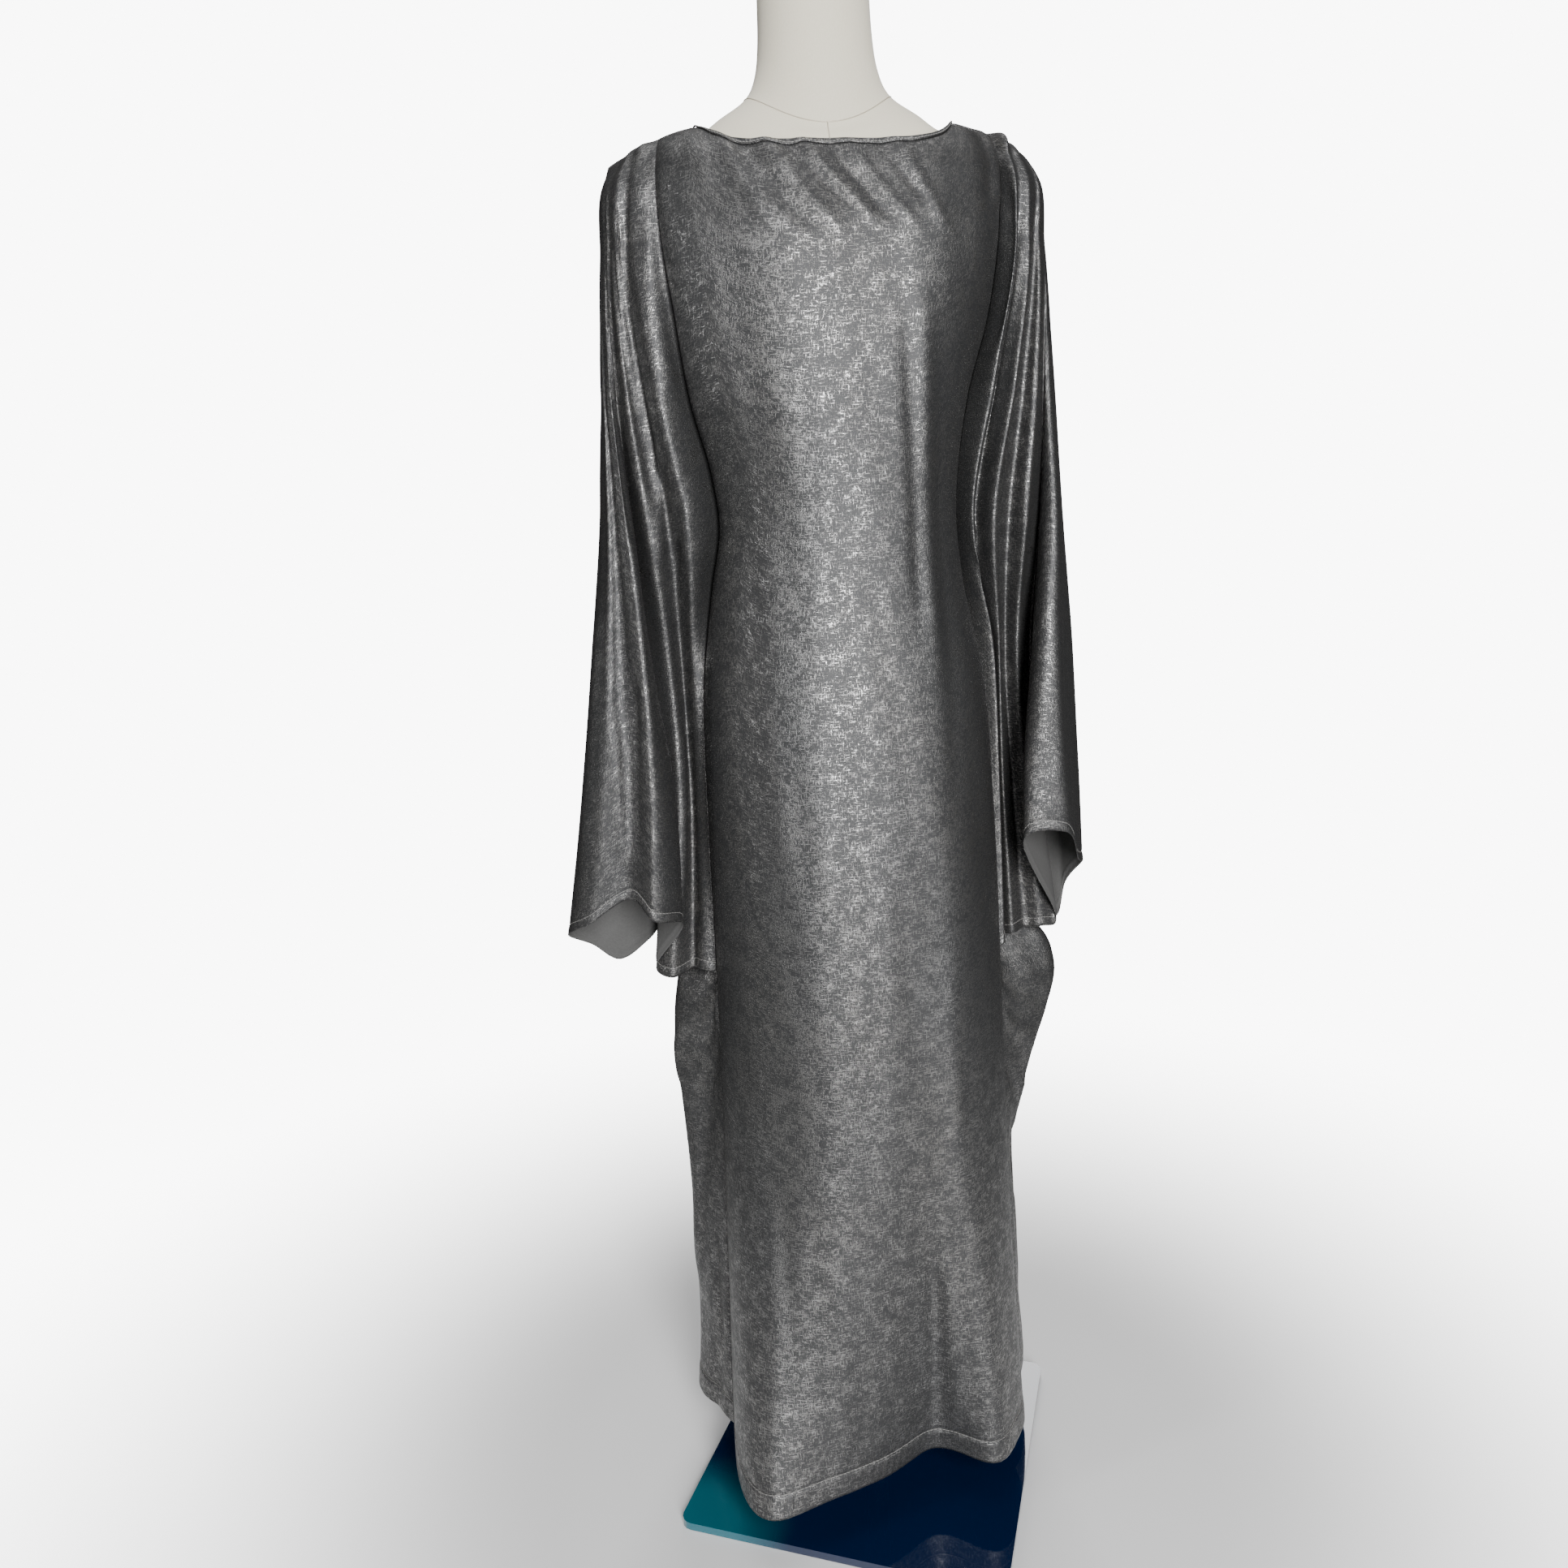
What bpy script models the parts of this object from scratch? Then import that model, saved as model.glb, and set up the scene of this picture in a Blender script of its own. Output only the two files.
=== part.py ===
"""A butterfly abaya of metallic cloth, worn by a limbless dress form on a pole and a glass plate.

Metres, +Z up. The origin is on the floor under the pole, and the front of the dress faces -Y.
Every sheet of cloth is a surface through its sections or through the lines of its folds, given a
wall by Solidify. Neighbouring sheets share the line of their seam and stand a seam gap apart.
"""

import math

import bmesh
import bpy
import numpy as np
from mathutils.bvhtree import BVHTree

CLOTH_WALL = 0.0015
SEAM_GAP = 0.0003
SHARPEST_SEAM = -0.95
CLEAR_OF_FORM = 0.0018
BAND_WALL = 0.0010
BAND_WIDTH = 0.0070
FRONT_BAND_GAP = 0.0016
BACK_BAND_GAP = 0.0010

SHOULDER_Z = 1.3840
SHOULDER_END_X = 0.121
SHOULDER_END_Z = 1.3895
HALF_SHOULDER_GAP = 0.0007
SEAM_X = 0.150
TIP_REACH = 0.052
TIP_DROP = 0.0215
TIP_CURVE = 1.5
FRONT_NECK_Z = 1.3500
BACK_NECK_Z = 1.3720
NECK_CORNER = 5.0
HEM_Z = 0.060

PLATE_SIDE = 0.340
PLATE_THICKNESS = 0.008
PLATE_CORNER = 0.012
PLATE_TURN = math.radians(-23.5)
POLE_RADIUS = 0.0125
SOCKET_RADIUS = 0.026
SOCKET_HEIGHT = 0.030
FLANGE_RADIUS = 0.045
FLANGE_HEIGHT = 0.012
FORM_BOTTOM_Z = 0.700
NECK_TOP_Z = 1.530
CAP_HEIGHT = 0.010

# Rings of the dress form from the neck down. A ring's height changes from its sides to its front
# and its back, as the neck seam and the shoulders do.
# columns: half width, front depth, back depth, height at the sides, at the front, at the back
FORM_RINGS = (
    (0.0520, 0.0520, 0.0540, 1.5297, 1.5297, 1.5297),
    (0.0540, 0.0530, 0.0560, 1.4700, 1.4650, 1.4750),
    (0.0590, 0.0550, 0.0590, 1.4380, 1.4150, 1.4400),
    (0.0700, 0.0600, 0.0640, 1.4180, 1.3770, 1.4130),
    (0.0950, 0.0680, 0.0670, 1.4010, 1.3610, 1.3960),
    (0.1180, 0.0700, 0.0660, 1.3864, 1.3410, 1.3700),
    (0.1450, 0.0810, 0.0780, 1.3832, 1.3290, 1.3520),
    (0.1680, 0.0900, 0.0860, 1.3735, 1.3130, 1.3320),
    (0.1810, 0.0970, 0.0900, 1.3600, 1.2960, 1.3100),
    (0.1840, 0.1040, 0.0940, 1.3420, 1.2740, 1.2860),
    (0.1640, 0.1110, 0.0960, 1.2980, 1.2440, 1.2540),
    (0.1350, 0.1140, 0.0950, 1.2350, 1.2050, 1.2100),
    (0.1180, 0.1040, 0.0880, 1.1550, 1.1400, 1.1400),
    (0.1080, 0.0920, 0.0800, 1.0800, 1.0800, 1.0800),
    (0.1050, 0.0870, 0.0780, 1.0250, 1.0250, 1.0250),
    (0.1140, 0.0930, 0.0870, 0.9650, 0.9650, 0.9650),
    (0.1290, 0.1020, 0.1040, 0.9000, 0.9000, 0.9000),
    (0.1340, 0.1060, 0.1100, 0.8400, 0.8400, 0.8400),
    (0.1330, 0.1040, 0.1060, 0.7700, 0.7700, 0.7700),
    (0.1260, 0.0950, 0.0960, FORM_BOTTOM_Z, FORM_BOTTOM_Z, FORM_BOTTOM_Z),
)
FORM_SIDES = 32

# Sections of the front panel, which the inner belt draws to the waist.
# columns: height, left seam, right seam, depth at the left seam, at the right seam, at the middle,
# power of the section's arc: 1 for half an ellipse, less for a squarer one
FRONT_SECTIONS = (
    (SHOULDER_Z, -0.1500, 0.1500, -HALF_SHOULDER_GAP, -HALF_SHOULDER_GAP,
     -HALF_SHOULDER_GAP, 1.00),
    (1.3800, -0.1510, 0.1510, -0.0190, -0.0190, -0.0300, 1.00),
    (1.3700, -0.1530, 0.1530, -0.0370, -0.0370, -0.0620, 1.00),
    (1.3500, -0.1560, 0.1555, -0.0530, -0.0530, -0.0890, 1.00),
    (1.3000, -0.1570, 0.1555, -0.0610, -0.0610, -0.1130, 1.00),
    (1.2110, -0.1480, 0.1460, -0.0570, -0.0480, -0.1240, 1.00),
    (1.1380, -0.1380, 0.1270, -0.0430, -0.0360, -0.1200, 1.00),
    (1.0800, -0.1230, 0.1185, -0.0280, -0.0270, -0.1130, 1.00),
    (1.0270, -0.1170, 0.1170, -0.0160, -0.0160, -0.1080, 1.00),
    (0.9700, -0.1270, 0.1240, -0.0040, -0.0040, -0.1080, 1.00),
    (0.8700, -0.1410, 0.1440, 0.0000, 0.0000, -0.1150, 1.00),
    (0.7400, -0.1450, 0.1510, 0.0000, 0.0000, -0.1190, 1.00),
    (0.5700, -0.1460, 0.1550, 0.0000, 0.0000, -0.1220, 1.00),
    (0.3500, -0.1500, 0.1570, 0.0000, 0.0000, -0.1240, 0.92),
    (0.1800, -0.1520, 0.1590, -0.0050, -0.0030, -0.1220, 0.70),
    (HEM_Z, -0.1540, 0.1600, -0.0200, -0.0120, -0.1190, 0.50),
)
# Long soft folds of the front: where each lies, from -1 at the left seam to 1 at the right one.
# columns: place at the top, place at the hem, half width, rise at the chest, waist, knee, hem
FRONT_FOLDS = (
    (-0.66, -0.72, 0.40, 0.000, 0.000, 0.012, 0.092),
    (-0.25, -0.20, 0.14, 0.003, 0.001, 0.003, 0.004),
    (0.10, 0.20, 0.17, -0.002, -0.001, -0.004, -0.028),
    (0.36, 0.48, 0.16, 0.003, 0.002, 0.003, 0.022),
)
FOLD_HEIGHTS = (1.22, 1.00, 0.40, HEM_Z)
FOLDS_START_OVER = 0.06
SIDEWAYS_SHARE = 0.1

# Sections of the back panel, which hangs free of the waist like a cape.
# columns: height, half width at the seams, depth at the seams, depth at the middle
BACK_SECTIONS = (
    (SHOULDER_Z, 0.1500, HALF_SHOULDER_GAP, HALF_SHOULDER_GAP),
    (1.3800, 0.1520, 0.0200, 0.0400),
    (1.3700, 0.1550, 0.0370, 0.0760),
    (1.3500, 0.1580, 0.0530, 0.0960),
    (1.3000, 0.1590, 0.0650, 0.1100),
    (1.1800, 0.1610, 0.0700, 0.1160),
    (1.0000, 0.1640, 0.0730, 0.1220),
    (0.8400, 0.1670, 0.0740, 0.1280),
    (0.5700, 0.1720, 0.0760, 0.1340),
    (0.3000, 0.1780, 0.0790, 0.1400),
    (HEM_Z, 0.1840, 0.0820, 0.1460),
)
BACK_FULLNESS = 0.8
# Folds of the cape, from -1 at the left seam to 1 at the right one.
# columns: place at the top, place at the hem, half width, rise at the chest, waist, knee, hem
BACK_FOLDS = (
    (-0.74, -0.78, 0.12, 0.003, 0.008, 0.013, 0.018),
    (-0.44, -0.50, 0.11, -0.002, -0.007, -0.011, -0.014),
    (-0.18, -0.22, 0.13, 0.002, 0.007, 0.012, 0.020),
    (0.10, 0.09, 0.10, -0.001, -0.005, -0.010, -0.013),
    (0.33, 0.36, 0.12, 0.002, 0.008, 0.013, 0.017),
    (0.56, 0.61, 0.09, -0.001, -0.006, -0.009, -0.013),
    (0.78, 0.84, 0.10, 0.003, 0.007, 0.012, 0.017),
)

# A wing is the sleeve cut in one with the side of the dress. Each row is the line of one fold, in
# order from the front seam round the outer edge to the back seam: (sideways, depth) at each height.
WING_HEIGHTS = (1.345, 1.280, 1.150, 1.030, 0.900, 0.770)
# columns: kind of line, sideways at the shoulder, then (sideways, depth) at each of WING_HEIGHTS,
# then (sideways, depth, height) at the lower edge
LEFT_FOLDS = (
    ("crest", 0.163, (0.172, 0.050), (0.177, 0.060), (0.168, 0.067), (0.149, 0.047), (0.152, 0.003),
     (0.155, -0.008), (0.162, -0.004, 0.575)),
    ("valley", 0.169, (0.182, 0.044), (0.189, 0.046), (0.180, 0.042), (0.166, 0.022), (0.162, -0.012),
     (0.162, -0.022), (0.170, -0.022, 0.572)),
    ("crest", 0.175, (0.189, 0.042), (0.198, 0.044), (0.197, 0.049), (0.187, 0.036), (0.175, 0.006),
     (0.172, -0.004), (0.194, -0.008, 0.567)),
    ("valley", 0.181, (0.195, 0.033), (0.203, 0.035), (0.205, 0.030), (0.203, 0.012), (0.200, -0.010),
     (0.192, -0.014), (0.210, -0.020, 0.578)),
    ("edge", 0.186, (0.199, 0.028), (0.206, 0.030), (0.208, 0.028), (0.200, 0.032), (0.191, 0.026),
     (0.177, 0.022), (0.178, 0.016, 0.630)),
    ("crest", 0.190, (0.202, 0.023), (0.209, 0.026), (0.212, 0.034), (0.206, 0.049), (0.200, 0.055),
     (0.198, 0.055), (0.207, 0.045, 0.644)),
    ("valley", 0.194, (0.204, 0.017), (0.212, 0.020), (0.217, 0.025), (0.216, 0.036), (0.218, 0.036),
     (0.224, 0.034), (0.230, 0.024, 0.664)),
    ("crest", 0.197, (0.206, 0.011), (0.214, 0.013), (0.221, 0.020), (0.225, 0.031), (0.237, 0.035),
     (0.252, 0.036), (0.272, 0.026, 0.641)),
    ("outer", 0.2005, (0.207, 0.000), (0.214, 0.000), (0.224, 0.000), (0.235, 0.000), (0.253, 0.000),
     (0.272, 0.000), (0.297, 0.000, 0.624)),
    ("crest", 0.194, (0.204, -0.020), (0.209, -0.024), (0.218, -0.027), (0.228, -0.030),
     (0.243, -0.028), (0.260, -0.028), (0.275, -0.020, 0.606)),
    ("valley", 0.187, (0.196, -0.033), (0.201, -0.038), (0.206, -0.040), (0.212, -0.040),
     (0.222, -0.036), (0.234, -0.034), (0.248, -0.032, 0.584)),
    ("crest", 0.177, (0.185, -0.046), (0.190, -0.054), (0.194, -0.060), (0.198, -0.064),
     (0.204, -0.062), (0.208, -0.058), (0.216, -0.046, 0.600)),
    ("valley", 0.164, (0.172, -0.051), (0.175, -0.060), (0.178, -0.066), (0.182, -0.068),
     (0.186, -0.068), (0.189, -0.066), (0.192, -0.062, 0.618)),
)
RIGHT_FOLDS = (
    ("crest", 0.160, (0.166, 0.064), (0.167, 0.078), (0.147, 0.064), (0.130, 0.040), (0.155, 0.012),
     (0.161, 0.004), (0.164, 0.000, 0.580)),
    ("valley", 0.166, (0.174, 0.048), (0.173, 0.055), (0.155, 0.044), (0.137, 0.022), (0.154, -0.006),
     (0.160, -0.016), (0.166, -0.018, 0.583)),
    ("crest", 0.174, (0.184, 0.046), (0.186, 0.057), (0.169, 0.062), (0.150, 0.046), (0.161, 0.012),
     (0.166, -0.002), (0.176, -0.010, 0.586)),
    ("valley", 0.180, (0.192, 0.037), (0.194, 0.040), (0.182, 0.038), (0.170, 0.026), (0.171, 0.000),
     (0.178, -0.014), (0.192, -0.022, 0.588)),
    ("crest", 0.186, (0.197, 0.034), (0.202, 0.038), (0.196, 0.045), (0.184, 0.044), (0.180, 0.014),
     (0.190, -0.004), (0.208, -0.014, 0.590)),
    ("valley", 0.190, (0.201, 0.026), (0.207, 0.028), (0.206, 0.026), (0.204, 0.018), (0.198, 0.000),
     (0.206, -0.010), (0.226, -0.014, 0.600)),
    ("edge", 0.193, (0.204, 0.021), (0.211, 0.022), (0.211, 0.030), (0.202, 0.040), (0.186, 0.044),
     (0.173, 0.048), (0.171, 0.050, 0.699)),
    ("crest", 0.196, (0.206, 0.015), (0.214, 0.016), (0.217, 0.024), (0.213, 0.046), (0.205, 0.062),
     (0.208, 0.062), (0.214, 0.058, 0.708)),
    ("valley", 0.1985, (0.208, 0.009), (0.216, 0.009), (0.222, 0.014), (0.225, 0.022), (0.228, 0.030),
     (0.230, 0.032), (0.236, 0.028, 0.672)),
    ("outer", 0.2025, (0.209, 0.000), (0.216, 0.000), (0.226, 0.000), (0.232, 0.000), (0.241, 0.000),
     (0.247, 0.000), (0.250, 0.000, 0.662)),
    ("crest", 0.195, (0.204, -0.020), (0.210, -0.024), (0.217, -0.028), (0.223, -0.030),
     (0.231, -0.032), (0.238, -0.030), (0.241, -0.028, 0.634)),
    ("valley", 0.187, (0.196, -0.033), (0.201, -0.038), (0.205, -0.042), (0.209, -0.044),
     (0.214, -0.044), (0.222, -0.042), (0.234, -0.036, 0.594)),
    ("crest", 0.177, (0.185, -0.046), (0.190, -0.054), (0.193, -0.060), (0.196, -0.064),
     (0.200, -0.063), (0.204, -0.062), (0.212, -0.054, 0.588)),
    ("valley", 0.164, (0.172, -0.051), (0.175, -0.060), (0.178, -0.066), (0.181, -0.069),
     (0.185, -0.070), (0.188, -0.070), (0.190, -0.066, 0.586)),
)
# Just under its shoulder a fold line has dropped and moved out this far, with this much of its depth.
FIRST_DROP = 0.006
FIRST_OUT = 0.002
FIRST_SHARE = 0.45
WING_BOTTOM_Z = 0.572
CASCADE_SEAM_Z = 0.558
TUCKED_ROWS = 2

# The side of the skirt below each wing: a cascade that swings out, is pinched in and falls to the
# hem. columns: height, then (sideways, depth) of the front edge, the pinch, the outer fold, the
# hollow behind it and the back edge
LEFT_CASCADE = (
    (0.600, (0.1390, -0.006), (0.1440, -0.016), (0.1600, -0.036), (0.1620, -0.054), (0.1600, -0.0670)),
    (0.576, (0.1390, -0.006), (0.1440, -0.016), (0.1800, -0.042), (0.1780, -0.058), (0.1620, -0.0690)),
    (0.545, (0.1440, -0.006), (0.1570, -0.010), (0.1890, -0.040), (0.1840, -0.062), (0.1700, -0.0740)),
    (0.480, (0.1450, -0.006), (0.1540, -0.016), (0.1950, -0.048), (0.1860, -0.070), (0.1740, -0.0755)),
    (0.430, (0.1465, -0.006), (0.1600, -0.024), (0.1930, -0.052), (0.1860, -0.072), (0.1755, -0.0765)),
    (0.300, (0.1490, -0.006), (0.1700, -0.028), (0.1880, -0.058), (0.1870, -0.076), (0.1785, -0.0790)),
    (0.200, (0.1495, -0.006), (0.1730, -0.024), (0.1890, -0.058), (0.1890, -0.078), (0.1810, -0.0805)),
    (0.165, (0.1500, -0.004), (0.1700, -0.014), (0.1830, -0.046), (0.1890, -0.074), (0.1820, -0.0810)),
    (0.110, (0.1510, 0.004), (0.1710, -0.012), (0.1870, -0.042), (0.1910, -0.070), (0.1835, -0.0815)),
    (HEM_Z, (0.1520, 0.012), (0.1750, -0.010), (0.1930, -0.038), (0.1950, -0.066), (0.1850, -0.0825)),
)
RIGHT_CASCADE = (
    (0.600, (0.1470, -0.006), (0.1500, -0.018), (0.1960, -0.038), (0.1820, -0.056), (0.1600, -0.0670)),
    (0.576, (0.1470, -0.006), (0.1560, -0.016), (0.2180, -0.034), (0.1960, -0.057), (0.1620, -0.0690)),
    (0.545, (0.1530, -0.006), (0.1680, -0.008), (0.2270, -0.030), (0.2060, -0.058), (0.1710, -0.0740)),
    (0.490, (0.1545, -0.006), (0.1700, -0.008), (0.2190, -0.034), (0.2030, -0.062), (0.1740, -0.0755)),
    (0.430, (0.1550, -0.006), (0.1720, -0.014), (0.2020, -0.040), (0.1960, -0.066), (0.1755, -0.0765)),
    (0.330, (0.1560, -0.006), (0.1680, -0.018), (0.1760, -0.042), (0.1860, -0.066), (0.1785, -0.0790)),
    (0.250, (0.1570, -0.006), (0.1720, -0.018), (0.1800, -0.046), (0.1880, -0.070), (0.1800, -0.0795)),
    (0.150, (0.1580, -0.004), (0.1750, -0.016), (0.1830, -0.048), (0.1890, -0.074), (0.1830, -0.0810)),
    (0.085, (0.1580, 0.002), (0.1750, -0.010), (0.1860, -0.040), (0.1900, -0.070), (0.1840, -0.0820)),
    (HEM_Z, (0.1585, 0.006), (0.1730, -0.008), (0.1840, -0.034), (0.1900, -0.066), (0.1850, -0.0825)),
)

# Heights of the rows at the seams: close together over the shoulder and the waist.
SEAM_ROWS = (
    SHOULDER_Z, 1.3800, 1.3720, 1.3580, 1.3300, 1.2900, 1.2400, 1.1850, 1.1300, 1.0750, 1.0200, 0.9600,
    0.8900, 0.8100, 0.7200, 0.6400, WING_BOTTOM_Z, 0.4900, 0.4100, 0.3200, 0.2400, 0.1650, 0.1100,
    HEM_Z,
)


def remove_everything():
    for old in list(bpy.data.objects):
        bpy.data.objects.remove(old, do_unlink=True)


def make_material(name, colour, roughness, metallic):
    made = bpy.data.materials.new(name)
    made.use_nodes = True
    shader = made.node_tree.nodes["Principled BSDF"]
    shader.inputs["Base Color"].default_value = (*colour, 1.0)
    shader.inputs["Roughness"].default_value = roughness
    shader.inputs["Metallic"].default_value = metallic
    return made


def add_object(name, mesh, material):
    mesh.materials.append(material)
    mesh.shade_smooth()
    mesh.set_sharp_from_angle(angle=math.radians(40))
    made = bpy.data.objects.new(name, mesh)
    PARTS.objects.link(made)
    return made


def smooth(knots, values, at):
    """Values at the places asked for, on a cubic through the knots with slopes from neighbours."""
    knots, values, at = (np.asarray(item, float) for item in (knots, values, at))
    steps = np.diff(knots)
    slopes = np.diff(values, axis=0) / steps[:, None]
    inner = (slopes[:-1] * steps[1:, None] + slopes[1:] * steps[:-1, None]) / (
        steps[1:, None] + steps[:-1, None]
    )
    tangents = np.concatenate([slopes[:1], inner, slopes[-1:]])
    span = np.clip(np.searchsorted(knots, at, side="right") - 1, 0, len(steps) - 1)
    step = steps[span][:, None]
    t = ((at - knots[span]) / steps[span])[:, None]
    return (
        values[span] * (2 * t**3 - 3 * t**2 + 1)
        + values[span + 1] * (3 * t**2 - 2 * t**3)
        + tangents[span] * step * (t**3 - 2 * t**2 + t)
        + tangents[span + 1] * step * (t**3 - t**2)
    )


def by_height(table, heights):
    """Columns of a table at the heights asked for: its first column is height, falling."""
    table = np.asarray(table, float)
    flat = np.clip(np.ravel(heights), table[-1, 0], table[0, 0])
    return smooth(-table[:, 0], table[:, 1:], -flat).reshape(*np.shape(heights), -1)


def fold_rise(folds, place, heights):
    """How far the folds lift the cloth: a soft bump across each fold, growing down its length."""
    rise = np.zeros_like(heights)
    for top, hem, width, *sizes in folds:
        size = np.interp(-heights, [-z for z in FOLD_HEIGHTS], sizes)
        size = size * np.clip((SHOULDER_Z - heights) / FOLDS_START_OVER, 0, 1)
        middle = hem + (top - hem) * (heights - HEM_Z) / (SHOULDER_Z - HEM_Z)
        rise += size * np.exp(-(((place - middle) / width) ** 2))
    return rise


def neckline_z(x, low_z):
    """Height of a panel's upper edge: the shoulder seam, and the boat neck between its ends."""
    reach = np.abs(x) / SHOULDER_END_X
    neck = low_z + (SHOULDER_END_Z - low_z) * reach**NECK_CORNER
    seam = SHOULDER_END_Z + (SHOULDER_Z - SHOULDER_END_Z) * (np.abs(x) - SHOULDER_END_X) / (
        SEAM_X - SHOULDER_END_X
    )
    return np.where(reach < 1, neck, seam)


def above_seam(x):
    """How far the neckline's ends stand above the outer end of the shoulder seam, fading out to it."""
    share = (SEAM_X - np.abs(x)) / (SEAM_X - SHOULDER_END_X)
    return (SHOULDER_END_Z - SHOULDER_Z) * np.clip(share, 0, 1)


def panel_places():
    """Columns of a panel, from -1 to 1, with one on each end of the neckline."""
    end = math.asin(SHOULDER_END_X / SEAM_X) / (math.pi / 2)
    side = np.linspace(end, 1, 4)
    return np.concatenate([-side[::-1], np.linspace(-end, end, 15)[1:-1], side])


def row_heights(tops, rows=SEAM_ROWS):
    """Heights of every row, from each column's own top to the hem, as the rows at the seam fall."""
    share = (SEAM_ROWS[0] - np.array(rows)) / (SEAM_ROWS[0] - HEM_Z)
    return tops[None, :] + share[:, None] * (HEM_Z - tops)[None, :]


def front_points(rows=SEAM_ROWS):
    """The front: an arc between the seams at each height, squarer at the hem, lifted by its folds."""
    place = panel_places()
    angle = place * math.pi / 2
    across = SEAM_X * np.sin(angle)
    top = neckline_z(across, FRONT_NECK_Z)
    z = row_heights(top, rows)
    level = row_heights(top - above_seam(across), rows)
    sizes = np.moveaxis(by_height(FRONT_SECTIONS, level), -1, 0)
    left, right, deep_left, deep_right, deep, power = sizes
    share = (1 + np.sin(angle)) / 2
    x = left + (right - left) * share
    edge = deep_left + (deep_right - deep_left) * share
    arc = np.clip(np.cos(angle), 0, 1) ** power
    lift = fold_rise(FRONT_FOLDS, place, z)
    y = edge + (deep - edge - lift) * arc
    return np.stack([x + lift * np.sin(angle) * SIDEWAYS_SHARE, y, z], -1)


def back_points(rows=SEAM_ROWS):
    """The back: a flatter arc between the seams at each height, lifted by its folds."""
    place = panel_places()
    angle = place * math.pi / 2
    across = SEAM_X * np.sin(angle)
    top = neckline_z(across, BACK_NECK_Z)
    z = row_heights(top, rows)
    level = row_heights(top - above_seam(across), rows)
    half, edge, deep = np.moveaxis(by_height(BACK_SECTIONS, level), -1, 0)
    lift = fold_rise(BACK_FOLDS, place, z)
    x = half * np.sin(angle)
    y = edge + (deep - edge) * np.cos(angle) ** BACK_FULLNESS + lift * np.cos(angle)
    return np.stack([x, y, z], -1)


def wing_lines(folds, side):
    """Every fold line of a wing at its own heights, in order from the front seam to the back seam."""
    rows = [z for z in SEAM_ROWS if z >= WING_BOTTOM_Z]
    share = (SHOULDER_Z - np.array(rows)) / (SHOULDER_Z - WING_BOTTOM_Z)
    seam = 0 if side < 0 else -1
    lines = [front_points(rows)[:, seam]]
    for _, top_x, *middle, bottom in folds:
        first_depth = middle[0][1]
        top_z = shoulder_z(top_x)
        table = [(top_z, top_x, HALF_SHOULDER_GAP * np.sign(first_depth))]
        table.append((top_z - FIRST_DROP, top_x + FIRST_OUT, first_depth * FIRST_SHARE))
        table += [(z, x, y) for z, (x, y) in zip(WING_HEIGHTS, middle)]
        table.append((bottom[2], bottom[0], bottom[1]))
        z = table[0][0] + share * (table[-1][0] - table[0][0])
        x, y = by_height(table, z).T
        lines.append(np.stack([side * x, -y, z], -1))
    lines.append(back_points(rows)[:, seam])
    return np.stack(lines, 1)


def shoulder_z(x):
    """Height of the shoulder line out from the seam to the tip: it rounds down like an arc."""
    out = (x - SEAM_X) / TIP_REACH
    return SHOULDER_Z - TIP_DROP * out**TIP_CURVE


def wing_points(folds, side, per_fold=3):
    """A wing's cloth through its fold lines, and the column of its outer edge."""
    lines = wing_lines(folds, side)
    columns = np.linspace(0, len(folds) + 1, (len(folds) + 1) * per_fold + 1)
    points = np.stack([smooth(np.arange(len(row)), row, columns) for row in lines])
    outer = 1 + [kind for kind, *_ in folds].index("outer")
    return points, outer * per_fold


def cascade_points(table, side, per_fold=4):
    """The side of the skirt: across each height a curve from the front seam to the back seam.

    Its upper rows are tucked up inside the wing, and the rest share their ends with the panels.
    """
    rows = [z for z in SEAM_ROWS if z < WING_BOTTOM_Z]
    heights = np.array([*[row[0] for row in table[:TUCKED_ROWS]], CASCADE_SEAM_Z, *rows])
    flat = [(row[0], *np.ravel(row[1:])) for row in table]
    inner = by_height(flat, heights).reshape(len(heights), -1, 2)
    lines = np.concatenate([inner * (side, -1), np.repeat(heights, inner.shape[1]).reshape(
        len(heights), -1, 1)], -1)
    seam = 0 if side < 0 else -1
    sewn = heights[TUCKED_ROWS:]
    lines[TUCKED_ROWS:, 0] = front_points(sewn)[:, seam]
    lines[TUCKED_ROWS:, -1] = back_points(sewn)[:, seam]
    columns = np.linspace(0, lines.shape[1] - 1, (lines.shape[1] - 1) * per_fold + 1)
    return np.stack([smooth(np.arange(lines.shape[1]), row, columns) for row in lines])


def part_at_seam(one, other, one_next, other_next):
    """Draws two edges back from the seam they share, further where the cloth turns sharply there."""
    away = one_next - one
    apart = other_next - other
    length = np.linalg.norm(away, axis=1), np.linalg.norm(apart, axis=1)
    away, apart = away / length[0][:, None], apart / length[1][:, None]
    straight = np.clip(-(away * apart).sum(1), SHARPEST_SEAM, 1)
    back = SEAM_GAP / 2 + CLOTH_WALL / 2 * np.sqrt((1 - straight) / (1 + straight))
    one += away * back[:, None]
    other += apart * back[:, None]


def rest_on(form, points):
    """Cloth that would lie inside the form is moved out until it rests on it."""
    tree = BVHTree.FromPolygons(
        [v.co for v in form.data.vertices], [f.vertices for f in form.data.polygons]
    )
    flat = points.reshape(-1, 3)
    for k, point in enumerate(flat):
        nearest, normal, _, _ = tree.find_nearest(point)
        outside = (point - np.array(nearest)) @ np.array(normal)
        if outside < CLEAR_OF_FORM:
            flat[k] = np.array(nearest) + CLEAR_OF_FORM * np.array(normal)
    return flat.reshape(points.shape)


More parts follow.
